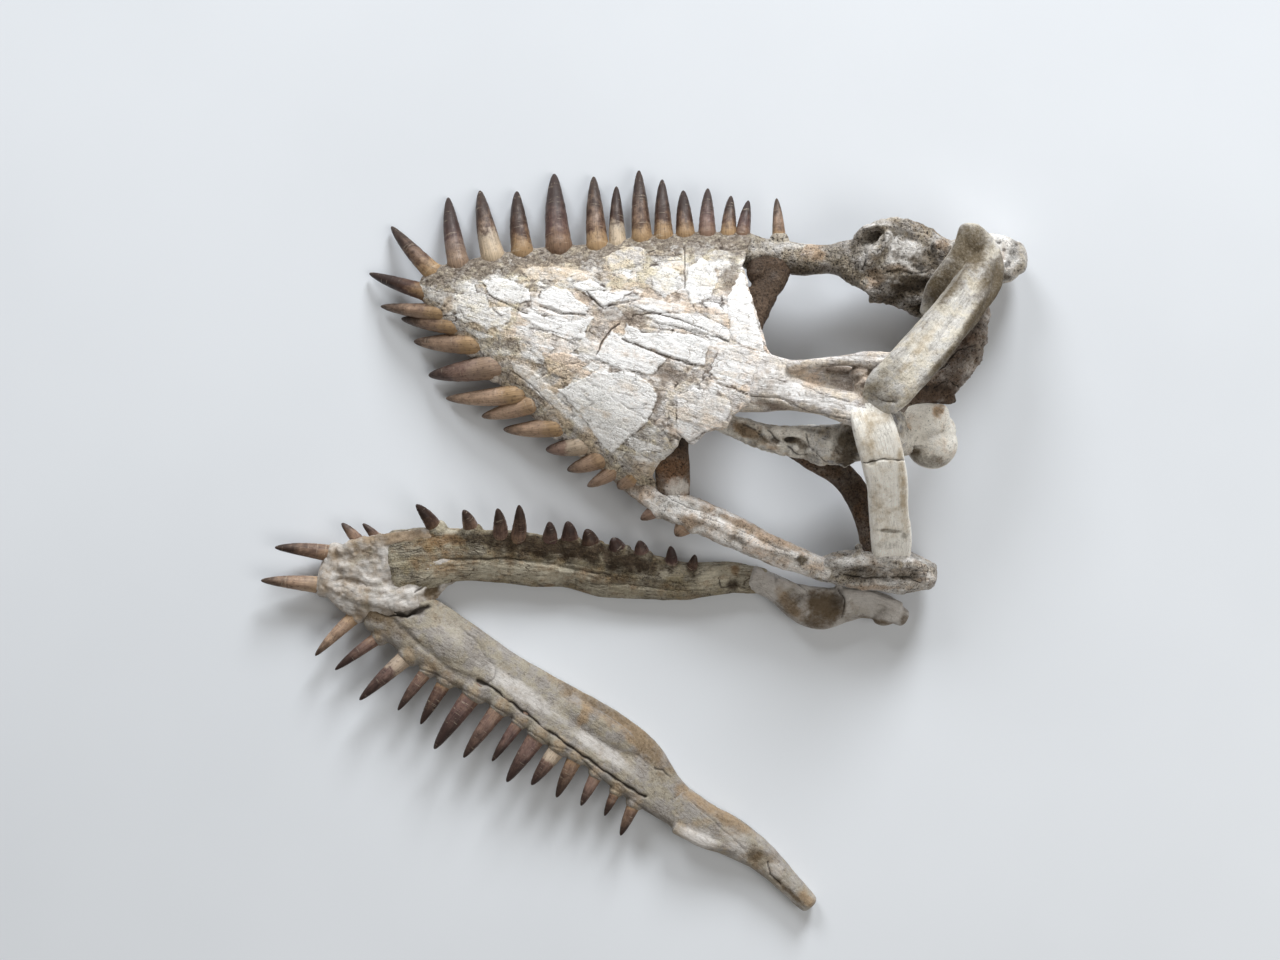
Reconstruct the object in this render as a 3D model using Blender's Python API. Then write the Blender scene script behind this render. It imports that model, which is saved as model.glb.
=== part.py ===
"""A plesiosaur's fossil skull laid out on the floor: the cranium on its palate, the lower jaw beside it.

Lists are in millimetres, in the part's own frame: +X towards the back of the skull, +Y towards the
animal's right, +Z up, z = 0 the floor. The cranium's snout has a frame of its own, u along its
midline from the tip and v towards the right side.
"""

import math

import bmesh
import bpy
from mathutils import Matrix, Vector

MM = 0.001
GAP = 0.3
NAME = "plesiosaur_skull"
# Where the lists' x = 0, y = 0 lies from the middle of the part's box, which is the part's origin.
FROM_MIDDLE = (-1.0, 45.0)

BONE_SIDES = 12
SNOUT_SIDES = 20
BONE_SQUARENESS = 2.5
SNOUT_SQUARENESS = 3.2

TOOTH_SIDES = 7
ROOT_DEPTH = 9.0
LOWEST_TIP = 0.6
CROWN_RINGS = ((0.0, 1.0), (0.3, 0.86), (0.6, 0.62), (0.84, 0.34))

CREAM = (0.76, 0.70, 0.62)
LAVENDER = (0.72, 0.66, 0.66)
TAN = (0.55, 0.45, 0.34)
BROWN = (0.33, 0.25, 0.18)
UMBER = (0.18, 0.11, 0.07)

SNOUT_TIP = (-158.0, 143.0)
SNOUT_HEADING = -16.5
# u; reach of the right and of the left margin; height of the ridge and of the margins' upper edge;
# height of the palate in the middle and of the margins' lower edge.
SNOUT = (
    (-5, 6, 5, 25, 23, 15, 15),
    (1, 14, 11, 30, 27, 12, 11),
    (12, 21, 18, 33, 29, 11, 10),
    (30, 31, 30, 36, 30, 11, 9),
    (45, 39, 36, 38, 31, 12, 9),
    (65, 48, 50, 40, 32, 12, 9),
    (86, 57, 60, 43, 33, 13, 9),
    (105, 63, 71, 46, 34, 14, 9),
    (125, 72, 79, 50, 36, 16, 10),
    (150, 83, 87, 56, 38, 19, 11),
    (177, 93, 99, 63, 41, 26, 13),
    (190, 97, 93, 67, 42, 31, 15),
    (200, 100, 84, 70, 44, 36, 18),
    (211, 103, 64, 74, 46, 42, 22),
    (219, 104, 54, 77, 46, 48, 26),
    (225, 80, 48, 79, 57, 52, 36),
    (232, 56, 40, 81, 66, 58, 46),
    (243, 38, 27, 83, 74, 62, 54),
    (252, 24, 15, 84, 78, 66, 60),
)
PREMAXILLA_END = 72.5
# The roof's two edges, each from a point u, v to another.
ROOF_RIGHT = ((72.5, 15.0), (225.0, 62.0))
ROOF_LEFT = ((72.5, -15.0), (215.0, -58.0))

# Bones as sections along a line: x, y, z of the middle, breadth, depth, roll in degrees.
CREST = (
    (74, 71, 76, 52, 20, 0),
    (88, 69, 80, 44, 20, 0),
    (105, 67, 85, 35, 20, 0),
    (133, 64, 91, 38, 22, 0),
    (154, 60, 98, 35, 22, 0),
    (168, 56, 101, 26, 20, 0),
)
SQUAMOSAL_RIGHT = (
    (160, 55, 102, 20, 18, 0),
    (173, 65, 105, 29, 20, 0),
    (191, 83, 101, 31, 21, 0),
    (211, 105, 92, 31, 21, 0),
    (231, 128, 78, 31, 20, 0),
    (245, 150, 63, 30, 19, 0),
    (243, 170, 54, 23, 17, 0),
    (240, 180, 50, 13, 12, 0),
)
SQUAMOSAL_LEFT = (
    (158, 53, 104, 25, 16, 0),
    (163, 38, 103, 30, 14, 0),
    (168, 21, 96, 30, 13, 0),
    (174, 0, 84, 29, 13, 0),
    (177, -21, 70, 28, 13, 0),
    (181, -43, 57, 29, 14, 0),
    (183, -62, 46, 30, 16, 0),
)
CHEEK_RIGHT = (
    (88, 165, 34, 18, 18, 0),
    (99, 165, 35, 20, 20, 0),
    (117, 161, 36, 23, 20, 0),
    (137, 161, 37, 21, 20, 0),
    (151, 161, 38, 28, 24, 0),
)
TEMPORAL_RIGHT = (
    (146, 161, 38, 24, 22, 0),
    (156, 160, 38, 38, 32, 0),
    (171, 159, 38, 54, 44, 0),
    (193, 158, 37, 63, 52, 0),
    (216, 152, 36, 58, 54, 0),
    (234, 152, 34, 47, 48, 0),
)
CHEEK_LEFT = (
    (6, -10, 32, 22, 20, 0),
    (20, -18, 33, 25, 20, 0),
    (44, -26, 34, 25, 20, 0),
    (73, -40, 36, 23, 20, 0),
    (96, -51, 36, 21, 20, 0),
    (117, -59, 36, 19, 19, 0),
    (133, -66, 36, 16, 18, 0),
)
QUADRATE_RIGHT = (
    (228, 156, 26, 38, 50, 0),
    (246, 160, 24, 38, 50, 0),
    (265, 162, 23, 35, 48, 0),
    (277, 163, 24, 25, 34, 0),
)
QUADRATE_LEFT = (
    (129, -66, 35, 14, 18, 0),
    (150, -66, 30, 22, 32, 0),
    (174, -66, 24, 21, 50, 0),
    (197, -68, 23, 24, 50, 0),
    (212, -71, 26, 19, 36, 0),
)
POSTORBITAL_RIGHT = (
    (99, 164, 34, 29, 18, 0),
    (93, 145, 42, 25, 16, 0),
    (88, 126, 52, 14, 14, 0),
    (80, 107, 62, 12, 12, 0),
)
POSTORBITAL_LEFT = (
    (23, 37, 52, 24, 14, 0),
    (23, 18, 46, 25, 14, 0),
    (24, 0, 38, 25, 14, 0),
    (25, -14, 33, 23, 14, 0),
)
BRAINCASE = (
    (57, 43, 60, 14, 16, 0),
    (75, 36, 59, 17, 18, 0),
    (97, 29, 57, 19, 20, 0),
    (119, 27, 56, 25, 26, 0),
    (144, 26, 58, 29, 42, 0),
    (166, 32, 62, 32, 58, 0),
    (188, 36, 58, 36, 46, 0),
)
CONDYLE = (
    (184, 37, 54, 32, 36, 0),
    (198, 33, 52, 29, 31, 0),
    (206, 28, 51, 33, 33, 0),
    (217, 24, 50, 33, 33, 0),
    (226, 20, 49, 22, 22, 0),
)
PTERYGOID_LEFT = (
    (105, 26, 50, 12, 16, 0),
    (125, 16, 46, 17, 16, 0),
    (144, 6, 42, 19, 15, 0),
    (158, -10, 38, 19, 15, 0),
    (166, -29, 35, 18, 15, 0),
    (172, -55, 32, 18, 16, 0),
)
PTERYGOID_RIGHT = (
    (173, 50, 60, 22, 26, 0),
    (199, 62, 54, 26, 24, 0),
    (221, 78, 48, 32, 22, 0),
    (234, 98, 42, 33, 20, 0),
    (240, 124, 36, 29, 22, 0),
    (240, 144, 30, 26, 22, 0),
)
SYMPHYSIS = (
    (-233, -66, 11, 24, 18, 0),
    (-222, -70, 12, 42, 24, 0),
    (-205, -74, 13, 58, 28, 0),
    (-186, -73, 13, 66, 28, 0),
    (-168, -68, 13, 58, 26, 6),
)
DENTARY_RIGHT = (
    (-180, -62, 12, 50, 26, 6),
    (-159, -59, 12, 48, 24, 10),
    (-141, -56, 12, 41, 22, 14),
    (-122, -56, 12, 39, 20, 18),
    (-104, -58, 12, 38, 19, 20),
    (-78, -62, 11, 36, 18, 20),
    (-52, -62, 11, 38, 18, 20),
    (-30, -67, 11, 41, 18, 20),
    (0, -71, 11, 36, 18, 18),
    (30, -75, 10, 29, 18, 14),
    (69, -73, 9, 23, 18, 8),
    (91, -75, 9, 19, 18, 4),
)
ARTICULAR_RIGHT = (
    (88, -74, 10, 19, 18, 4),
    (104, -82, 9, 20, 20, 0),
    (119, -92, 9, 27, 22, 0),
    (134, -96, 9, 31, 22, 0),
    (150, -93, 9, 27, 22, 0),
    (168, -92, 9, 22, 20, 0),
    (184, -96, 9, 19, 18, 0),
    (195, -102, 9, 14, 16, 0),
)
DENTARY_LEFT = (
    (-196, -96, 10, 34, 22, -6),
    (-171, -105, 11, 45, 22, -10),
    (-139, -126, 12, 48, 20, -16),
    (-104, -147, 12, 42, 19, -18),
    (-66, -170, 12, 44, 18, -18),
    (-28, -193, 12, 47, 18, -18),
    (-4, -212, 11, 47, 18, -16),
    (16, -233, 10, 36, 18, -10),
    (30, -244, 9, 30, 18, -6),
)
ARTICULAR_LEFT = (
    (28, -242, 10, 30, 18, -6),
    (46, -256, 9, 33, 20, 0),
    (64, -264, 9, 30, 20, 0),
    (92, -282, 8, 22, 19, 0),
    (112, -302, 7, 17, 17, 0),
    (125, -315, 7, 15, 15, 0),
)
# Teeth: distance along the bone, base's distance inside its outer edge, length seen from above,
# lean towards the front in degrees, breadth of the base.
UPPER_RIGHT = (
    (1, 18, 47, 87, 12),
    (1, 2, 48, 59, 13),
    (18, 1, 52, 27, 15),
    (41, 1, 52, 29, 16),
    (61, 1, 47, 23, 15),
    (86, 1, 57, 21, 18),
    (113, 2, 54, 20, 15),
    (127, 3, 45, 18, 12),
    (143, 1, 53, 19, 14),
    (158, 1, 44, 18, 13),
    (173, 1, 34, 19, 13),
    (188, 1, 35, 15, 12),
    (203, 1, 29, 12, 11),
    (213, 1, 26, 6, 10),
)
UPPER_LEFT = (
    (12, 2, 43, 81, 10),
    (23, 3, 36, 82, 11),
    (40, 2, 40, 77, 13),
    (60, 2, 45, 67, 15),
    (83, 0, 50, 71, 12),
    (96, 3, 35, 60, 12),
    (118, 3, 36, 71, 12),
    (139, 2, 22, 66, 12),
    (157, 3, 23, 54, 12),
    (171, 4, 22, 43, 10),
    (184, 6, 12, 29, 13),
)
CHEEK_RIGHT_TEETH = ((12, -1, 31, 12, 10),)
CHEEK_LEFT_TEETH = (
    (13, 4, 13, 34, 9),
    (37, 5, 11, 20, 12),
)
SYMPHYSIS_RIGHT_TEETH = (
    (1, 2, 43, 103, 13),
    (22, 1, 20, 53, 10),
    (43, 2, 16, 38, 8),
)
SYMPHYSIS_LEFT_TEETH = (
    (1, 1, 45, 75, 13),
    (26, 0, 44, 36, 11),
)
LOWER_RIGHT_TEETH = (
    (31, 0, 22, 27, 12),
    (55, 0, 16, 19, 12),
    (75, 5, 24, 9, 13),
    (88, 5, 29, 1, 13),
    (112, 3, 17, 2, 13),
    (127, 2, 16, 10, 14),
    (143, 4, 14, 24, 15),
    (163, 4, 12, 30, 15),
    (181, 3, 12, 18, 13),
    (204, 6, 16, 5, 11),
    (218, 9, 15, -15, 10),
)
LOWER_LEFT_TEETH = (
    (10, 0, 39, 31, 10),
    (38, 0, 48, 18, 13),
    (57, 0, 36, 5, 10),
    (73, 0, 36, -2, 11),
    (95, 1, 49, 4, 15),
    (117, 2, 45, 5, 13),
    (135, 1, 35, 4, 10),
    (152, 0, 41, 3, 14),
    (170, 0, 33, 4, 13),
    (185, 2, 33, -7, 12),
    (206, 1, 26, -10, 10),
    (227, 0, 20, -17, 8),
    (244, 0, 25, -19, 10),
)
UPPER_DROP = -18.0
SYMPHYSIS_RISE = 8.0
RIGHT_RISE = 38.0
LEFT_RISE = 6.0

# Each bone's colour and the bones whose shape it is cut clear of.
BONES = {
    "premaxillae": (CREAM, ()),
    "maxilla_right": (CREAM, ()),
    "maxilla_left": (CREAM, ()),
    "skull_roof": (LAVENDER, ()),
    "parietal_crest": (TAN, ("snout",)),
    "squamosal_right": (CREAM, ("parietal_crest",)),
    "squamosal_left": (CREAM, ("parietal_crest", "squamosal_right")),
    "quadrate_right": (CREAM, ("squamosal_right",)),
    "quadrate_left": (CREAM, ("squamosal_left",)),
    "temporal_right": (CREAM, ("quadrate_right", "squamosal_right")),
    "cheek_right": (CREAM, ("snout", "temporal_right")),
    "cheek_left": (LAVENDER, ("snout", "quadrate_left", "squamosal_left")),
    "postorbital_right": (BROWN, ("snout", "cheek_right")),
    "postorbital_left": (BROWN, ("snout", "cheek_left")),
    "braincase": (TAN, ("snout", "parietal_crest", "squamosal_right", "squamosal_left")),
    "occipital_condyle": (TAN, ("braincase", "squamosal_right", "squamosal_left")),
    "pterygoid_left": (
        TAN,
        ("braincase", "occipital_condyle", "quadrate_left", "squamosal_left", "cheek_left"),
    ),
    "pterygoid_right": (
        BROWN,
        (
            "parietal_crest",
            "braincase",
            "occipital_condyle",
            "quadrate_right",
            "squamosal_right",
            "squamosal_left",
            "temporal_right",
        ),
    ),
    "symphysis": (CREAM, ()),
    "dentary_right": (UMBER, ("symphysis",)),
    "dentary_left": (CREAM, ("symphysis", "dentary_right")),
    "articular_right": (CREAM, ("dentary_right",)),
    "articular_left": (CREAM, ("dentary_left",)),
}


def clear_scene():
    for obj in list(bpy.data.objects):
        bpy.data.objects.remove(obj, do_unlink=True)


def new_collection(name):
    made = bpy.data.collections.new(name)
    bpy.context.scene.collection.children.link(made)
    return made


def material(name, colour, roughness=0.7):
    made = bpy.data.materials.new(name)
    made.use_nodes = True
    shader = made.node_tree.nodes["Principled BSDF"]
    shader.inputs["Base Color"].default_value = (*colour, 1.0)
    shader.inputs["Roughness"].default_value = roughness
    shader.inputs["Metallic"].default_value = 0.0
    return made


def power(value, exponent):
    return math.copysign(abs(value) ** exponent, value)


def skin_of_rings(rings):
    """A closed mesh through rings of equally many points, with a flat cap at each end."""
    mesh = bmesh.new()
    loops = [[mesh.verts.new(point * MM) for point in ring] for ring in rings]
    for near, far in zip(loops, loops[1:]):
        for i in range(len(near)):
            j = (i + 1) % len(near)
            mesh.faces.new((near[i], near[j], far[j], far[i]))
    mesh.faces.new(loops[0])
    mesh.faces.new(loops[-1])
    bmesh.ops.triangulate(mesh, faces=mesh.faces)
    bmesh.ops.recalc_face_normals(mesh, faces=mesh.faces)
    return mesh


def frames_along(stations):
    """Middle, heading, sideways and upwards direction of each section, sideways to the left."""
    middles = [Vector(row[:3]) for row in stations]
    found = []
    for i, middle in enumerate(middles):
        before = middles[max(i - 1, 0)]
        after = middles[min(i + 1, len(middles) - 1)]
        heading = (after - before).normalized()
        side = Vector((0, 0, 1)).cross(heading).normalized()
        roll = Matrix.Rotation(-math.radians(stations[i][5]), 3, -heading)
        side = roll @ side
        found.append((middle, heading, side, heading.cross(side)))
    return found


def bone(stations):
    """A bone through its sections, with rounded ends and what is under the floor pressed flat."""
    frames = frames_along(stations)
    sections = [(*frame, row[3] / 2, row[4] / 2) for frame, row in zip(frames, stations)]
    for end, sign in ((0, -1), (-1, 1)):
        middle, heading, side, up, half_w, half_d = sections[end]
        bulge = 0.45 * min(half_w, half_d) * sign
        tip = [
            (middle + heading * bulge, heading, side, up, half_w * 0.8, half_d * 0.8),
            (middle + heading * bulge * 1.4, heading, side, up, half_w * 0.4, half_d * 0.4),
        ]
        sections = tip[::-1] + sections if sign < 0 else sections + tip
    rings = []
    for middle, _, side, up, half_w, half_d in sections:
        ring = []
        for k in range(BONE_SIDES):
            turn = math.tau * (k + 0.5) / BONE_SIDES
            across = power(math.cos(turn), 2 / BONE_SQUARENESS)
            above = power(math.sin(turn), 2 / BONE_SQUARENESS)
            point = middle + side * (half_w * across) + up * (half_d * above)
            point.z = max(point.z, 0.0)
            ring.append(point)
        rings.append(ring)
    return skin_of_rings(rings)


def snout_point(u, v, z):
    turn = math.radians(SNOUT_HEADING)
    x = SNOUT_TIP[0] + u * math.cos(turn) - v * math.sin(turn)
    y = SNOUT_TIP[1] + u * math.sin(turn) + v * math.cos(turn)
    return Vector((x, y, z))


def snout_at(u):
    """The snout's measures at u, read between its sections."""
    for near, far in zip(SNOUT, SNOUT[1:]):
        if u <= far[0]:
            share = max((u - near[0]) / (far[0] - near[0]), 0.0)
            return [a + (b - a) * share for a, b in zip(near, far)]
    return list(SNOUT[-1])


def snout():
    """The whole broad plate of the snout and skull roof, before it is parted into its bones."""
    rings = []
    for u, right, left, ridge, rim, palate, sole in SNOUT:
        ring = []
        for k in range(SNOUT_SIDES):
            turn = math.tau * (k + 0.5) / SNOUT_SIDES
            across = power(math.cos(turn), 2 / SNOUT_SQUARENESS)
            above = power(math.sin(turn), 2 / SNOUT_SQUARENESS)
            top = rim + (ridge - rim) * (1 - abs(across) ** 1.5)
            below = sole + (palate - sole) * (1 - across * across)
            z = (top + below) / 2 + above * (top - below) / 2
            ring.append(snout_point(u, across * (right if across > 0 else left), z))
        rings.append(ring)
    return skin_of_rings(rings)


def keep_side(mesh, point, inward):
    """Cuts the mesh by the plane through a point, keeps the inward side and closes the cut."""
    faces = mesh.verts[:] + mesh.edges[:] + mesh.faces[:]
    bmesh.ops.bisect_plane(
        mesh, geom=faces, plane_co=point * MM, plane_no=-inward, clear_outer=True, dist=1e-7
    )
    rim = [edge for edge in mesh.edges if edge.is_boundary]
    bmesh.ops.edgeloop_fill(mesh, edges=rim)
    bmesh.ops.recalc_face_normals(mesh, faces=mesh.faces)


def snout_bone(cuts):
    """The snout's share inside cuts, each two points u, v with the kept side on the left of them."""
    mesh = snout()
    for (u0, v0), (u1, v1) in cuts:
        start = snout_point(u0, v0, 0)
        along = (snout_point(u1, v1, 0) - start).normalized()
        inward = Vector((-along.y, along.x, 0))
        keep_side(mesh, start + inward * GAP / 2, inward)
    return mesh


def swollen(mesh):
    """A copy that stands the gap proud of the mesh."""
    grown = mesh.copy()
    grown.normal_update()
    moves = [(vert, vert.normal * vert.calc_shell_factor() * GAP * MM) for vert in grown.verts]
    for vert, move in moves:
        vert.co += move
    return grown


def as_object(name, mesh, home):
    data = bpy.data.meshes.new(name)
    mesh.to_mesh(data)
    made = bpy.data.objects.new(name, data)
    home.objects.link(made)
    return made


def largest_shell(mesh):
    """Deletes all but the closed surface that holds the most."""
    left = set(mesh.faces)
    shells = []
    while left:
        shell = {left.pop()}
        front = list(shell)
        while front:
            face = front.pop()
            near = {other for edge in face.edges for other in edge.link_faces} & left
            left -= near
            shell |= near
            front += near
        shells.append(shell)
    if len(shells) > 1:
        shells.sort(key=lambda shell: -sum(face.calc_area() for face in shell))
        lost = [face for shell in shells[1:] for face in shell]
        bmesh.ops.delete(mesh, geom=lost, context="FACES")


def combine(body, others, operation, cutters):
    """Joins or cuts the object with all the meshes in one Boolean, and applies it."""
    if not others:
        return
    tools = [as_object("tool", mesh, cutters) for mesh in others]
    modifier = body.modifiers.new("combine", "BOOLEAN")
    modifier.operation = operation
    modifier.operand_type = "COLLECTION"
    modifier.collection = cutters
    modifier.solver = "MANIFOLD"
    graph = bpy.context.evaluated_depsgraph_get()
    graph.update()
    result = bpy.data.meshes.new_from_object(body.evaluated_get(graph))
    body.modifiers.clear()
    body.data = result
    for tool in tools:
        bpy.data.objects.remove(tool, do_unlink=True)
    mesh = bmesh.new()
    mesh.from_mesh(result)
    largest_shell(mesh)
    mesh.to_mesh(result)
    mesh.free()


def tooth(base, tip, breadth):
    """A curved, tapering tooth with its root sunk into the bone behind its base."""
    reach = tip - base
    root = base - Vector((reach.x, reach.y, 0)).normalized() * ROOT_DEPTH
    elbow = base + reach * 0.5 + Vector((0, 0, reach.length * 0.08))
    heading = reach.normalized()
    side = Vector((0, 0, 1)).cross(heading).normalized()
    up = heading.cross(side)
    mesh = bmesh.new()

    def ring(middle, radius):
        return [
            mesh.verts.new(
                (middle + side * radius * math.cos(turn) + up * radius * math.sin(turn)) * MM
            )
            for turn in (math.tau * k / TOOTH_SIDES for k in range(TOOTH_SIDES))
        ]

    loops = [ring(root, breadth * 0.42)]
    for share, size in CROWN_RINGS:
        bend = 2 * share * (1 - share)
        middle = base * (1 - share) ** 2 + elbow * bend + tip * share**2
        loops.append(ring(middle, breadth / 2 * size))
    point = mesh.verts.new(tip * MM)
    mesh.faces.new(loops[0])
    for near, far in zip(loops, loops[1:]):
        for i in range(TOOTH_SIDES):
            j = (i + 1) % TOOTH_SIDES
            mesh.faces.new((near[i], near[j], far[j], far[i]))
    for i in range(TOOTH_SIDES):
        mesh.faces.new((loops[-1][i], loops[-1][(i + 1) % TOOTH_SIDES], point))
    bmesh.ops.recalc_face_normals(mesh, faces=mesh.faces)
    return mesh


def snout_socket(along, inset, right):
    """Base of a tooth on the snout's margin, and the outward and forward directions there."""
    _, reach_right, reach_left, _, rim, _, sole = snout_at(along)
    v = reach_right - inset if right else inset - reach_left
    origin = snout_point(0, 0, 0)
    outward = snout_point(0, 1 if right else -1, 0) - origin
    forward = snout_point(-1, 0, 0) - origin
    return snout_point(along, v, (rim + sole) / 2), outward, forward


def bone_socket(stations, along, inset, right):
    """Base of a tooth on a bone's outer edge, and the outward and forward directions there."""
    frames = frames_along(stations)
    sign = 1 if right else -1
    for i, (near, far) in enumerate(zip(frames, frames[1:])):
        run = far[0] - near[0]
        length = math.hypot(run.x, run.y)
        if along <= length or i == len(frames) - 2:
            share = along / length
            break
        along -= length
    middle = near[0].lerp(far[0], share)
    side = near[2].lerp(far[2], share).normalized()
    half = (stations[i][3] + (stations[i + 1][3] - stations[i][3]) * share) / 2
    base = middle + side * sign * (half - inset)
    outward = Vector((side.x, side.y, 0)).normalized() * sign
    forward = -Vector((run.x, run.y, 0)).normalized()
    return base, outward, forward


def row_of_teeth(row, socket, rise):
    made = []
    for along, inset, length, lean, breadth in row:
        base, outward, forward = socket(along, inset)
        turn = math.radians(lean)
        way = outward * math.cos(turn) + forward * math.sin(turn)
        tip = base + way * length + Vector((0, 0, length * math.tan(math.radians(rise))))
        tip.z = max(tip.z, LOWEST_TIP)
        made.append(tooth(base, tip, breadth))
    return made


def snout_teeth(row, right):
    return row_of_teeth(row, lambda along, inset: snout_socket(along, inset, right), UPPER_DROP)


def bone_teeth(row, stations, right, rise):
    return row_of_teeth(
        row, lambda along, inset: bone_socket(stations, along, inset, right), rise
    )


def build():
    clear_scene()
    home = new_collection(NAME)
    cutters = new_collection("cutters")
    cutters.hide_render = True

    behind = ((PREMAXILLA_END, 200), (PREMAXILLA_END, -200))
    plain = {
        "snout": snout(),
        "premaxillae": snout_bone((behind[::-1],)),
        "maxilla_right": snout_bone((behind, ROOF_RIGHT)),
        "maxilla_left": snout_bone((behind, ROOF_LEFT[::-1])),
        "skull_roof": snout_bone((behind, ROOF_RIGHT[::-1], ROOF_LEFT)),
        "parietal_crest": bone(CREST),
        "squamosal_right": bone(SQUAMOSAL_RIGHT),
        "squamosal_left": bone(SQUAMOSAL_LEFT),
        "quadrate_right": bone(QUADRATE_RIGHT),
        "quadrate_left": bone(QUADRATE_LEFT),
        "temporal_right": bone(TEMPORAL_RIGHT),
        "cheek_right": bone(CHEEK_RIGHT),
        "cheek_left": bone(CHEEK_LEFT),
        "postorbital_right": bone(POSTORBITAL_RIGHT),
        "postorbital_left": bone(POSTORBITAL_LEFT),
        "braincase": bone(BRAINCASE),
        "occipital_condyle": bone(CONDYLE),
        "pterygoid_left": bone(PTERYGOID_LEFT),
        "pterygoid_right": bone(PTERYGOID_RIGHT),
        "symphysis": bone(SYMPHYSIS),
        "dentary_right": bone(DENTARY_RIGHT),
        "dentary_left": bone(DENTARY_LEFT),
        "articular_right": bone(ARTICULAR_RIGHT),
        "articular_left": bone(ARTICULAR_LEFT),
    }
    teeth = {
        "premaxillae": snout_teeth(UPPER_RIGHT[:5], True) + snout_teeth(UPPER_LEFT[:4], False),
        "maxilla_right": snout_teeth(UPPER_RIGHT[5:], True),
        "maxilla_left": snout_teeth(UPPER_LEFT[4:], False),
        "cheek_right": bone_teeth(CHEEK_RIGHT_TEETH, CHEEK_RIGHT, True, UPPER_DROP),
        "cheek_left": bone_teeth(CHEEK_LEFT_TEETH, CHEEK_LEFT, False, UPPER_DROP),
        "symphysis": bone_teeth(SYMPHYSIS_RIGHT_TEETH, SYMPHYSIS, True, SYMPHYSIS_RISE)
        + bone_teeth(SYMPHYSIS_LEFT_TEETH, SYMPHYSIS, False, SYMPHYSIS_RISE),
        "dentary_right": bone_teeth(LOWER_RIGHT_TEETH, DENTARY_RIGHT, True, RIGHT_RISE),
        "dentary_left": bone_teeth(LOWER_LEFT_TEETH, DENTARY_LEFT, False, LEFT_RISE),
    }
    for name, (colour, neighbours) in BONES.items():
        body = as_object(name, plain[name], home)
        combine(body, [swollen(plain[other]) for other in neighbours], "DIFFERENCE", cutters)
        combine(body, teeth.get(name, []), "UNION", cutters)
        body.data.materials.clear()
        body.data.materials.append(material(name, colour))
        body.data.shade_smooth()
        body.data.set_sharp_from_angle(angle=math.radians(40))
        body.location = (FROM_MIDDLE[0] * MM, FROM_MIDDLE[1] * MM, 0)


build()
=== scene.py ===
"""The plesiosaur's fossil skull on a pale floor, seen from straight above.

Lists are in millimetres in the drawing frame: +X towards the back of the skull, +Y towards the
animal's right, +Z up, z = 0 the floor. Places on the sheet are those of a drawing, 1280 wide and
960 high, on which the drawing frame is seen from the height of EYE.

Each bone starts as shells: sections along a line, ridges, swellings and the collars of its teeth.
One skin round them becomes its surface, whose points are lifted and marked. The materials read
the marks and the grain.
"""
import math

import bpy
import numpy as np
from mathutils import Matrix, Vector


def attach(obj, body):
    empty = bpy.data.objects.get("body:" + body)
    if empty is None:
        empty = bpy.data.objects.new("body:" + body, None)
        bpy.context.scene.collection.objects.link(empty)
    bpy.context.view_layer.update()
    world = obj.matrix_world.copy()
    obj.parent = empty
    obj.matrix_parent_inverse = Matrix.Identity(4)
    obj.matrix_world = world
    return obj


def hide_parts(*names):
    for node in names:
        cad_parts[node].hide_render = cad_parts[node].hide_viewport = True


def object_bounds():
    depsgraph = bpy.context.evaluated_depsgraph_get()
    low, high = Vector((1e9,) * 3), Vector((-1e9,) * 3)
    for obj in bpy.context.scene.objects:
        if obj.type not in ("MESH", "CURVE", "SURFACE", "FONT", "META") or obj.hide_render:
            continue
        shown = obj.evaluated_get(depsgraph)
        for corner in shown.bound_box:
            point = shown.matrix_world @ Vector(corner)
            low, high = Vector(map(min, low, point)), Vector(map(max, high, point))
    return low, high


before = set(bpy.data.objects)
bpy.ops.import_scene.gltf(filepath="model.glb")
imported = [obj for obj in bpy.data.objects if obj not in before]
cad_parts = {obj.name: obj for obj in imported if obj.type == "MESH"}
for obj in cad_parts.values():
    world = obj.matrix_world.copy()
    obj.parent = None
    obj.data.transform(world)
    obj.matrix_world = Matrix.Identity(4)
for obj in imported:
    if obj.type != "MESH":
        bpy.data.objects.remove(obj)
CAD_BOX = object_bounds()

MM = 0.001
UP = (0.0, 0.0, 1.0)
# From the drawing frame to the part's frame, in mm.
SHIFT = np.array((-1.0, 45.0, 0.0))
EYE = 1400.0
SHEET_WIDTH, SHEET_HEIGHT = 1280, 960
# How many mm on the floor one unit of the sheet takes.
SHEET_UNIT = 0.75

SNOUT_TIP = (-158.0, 143.0)
SNOUT_HEADING = -16.5
# u; reach right and left; height of ridge and of the margins' upper edge; of palate and lower edge.
SNOUT = (
    (-5, 6, 5, 25, 23, 15, 15),
    (1, 14, 11, 30, 27, 12, 11),
    (12, 21, 18, 33, 29, 11, 10),
    (30, 31, 30, 36, 30, 11, 9),
    (45, 39, 36, 38, 31, 12, 9),
    (65, 48, 50, 40, 32, 12, 9),
    (86, 57, 60, 43, 33, 13, 9),
    (105, 63, 71, 46, 34, 14, 9),
    (125, 72, 79, 50, 36, 16, 10),
    (150, 83, 87, 56, 38, 19, 11),
    (177, 93, 98, 63, 41, 26, 13),
    (190, 97, 98, 67, 42, 31, 14),
    (200, 100, 97, 70, 43, 36, 15),
    (211, 103, 95, 74, 44, 42, 18),
    (219, 104, 93, 77, 45, 48, 20),
    (232, 102, 90, 81, 45, 58, 20),
    (243, 98, 86, 83, 44, 62, 20),
    (256, 94, 82, 84, 42, 66, 26),
    (266, 88, 76, 84, 40, 68, 30),
)
PREMAXILLA_END = 72.5
ROOF_RIGHT = ((72.5, 15.0), (225.0, 62.0))
ROOF_LEFT = ((72.5, -15.0), (215.0, -58.0))
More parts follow.
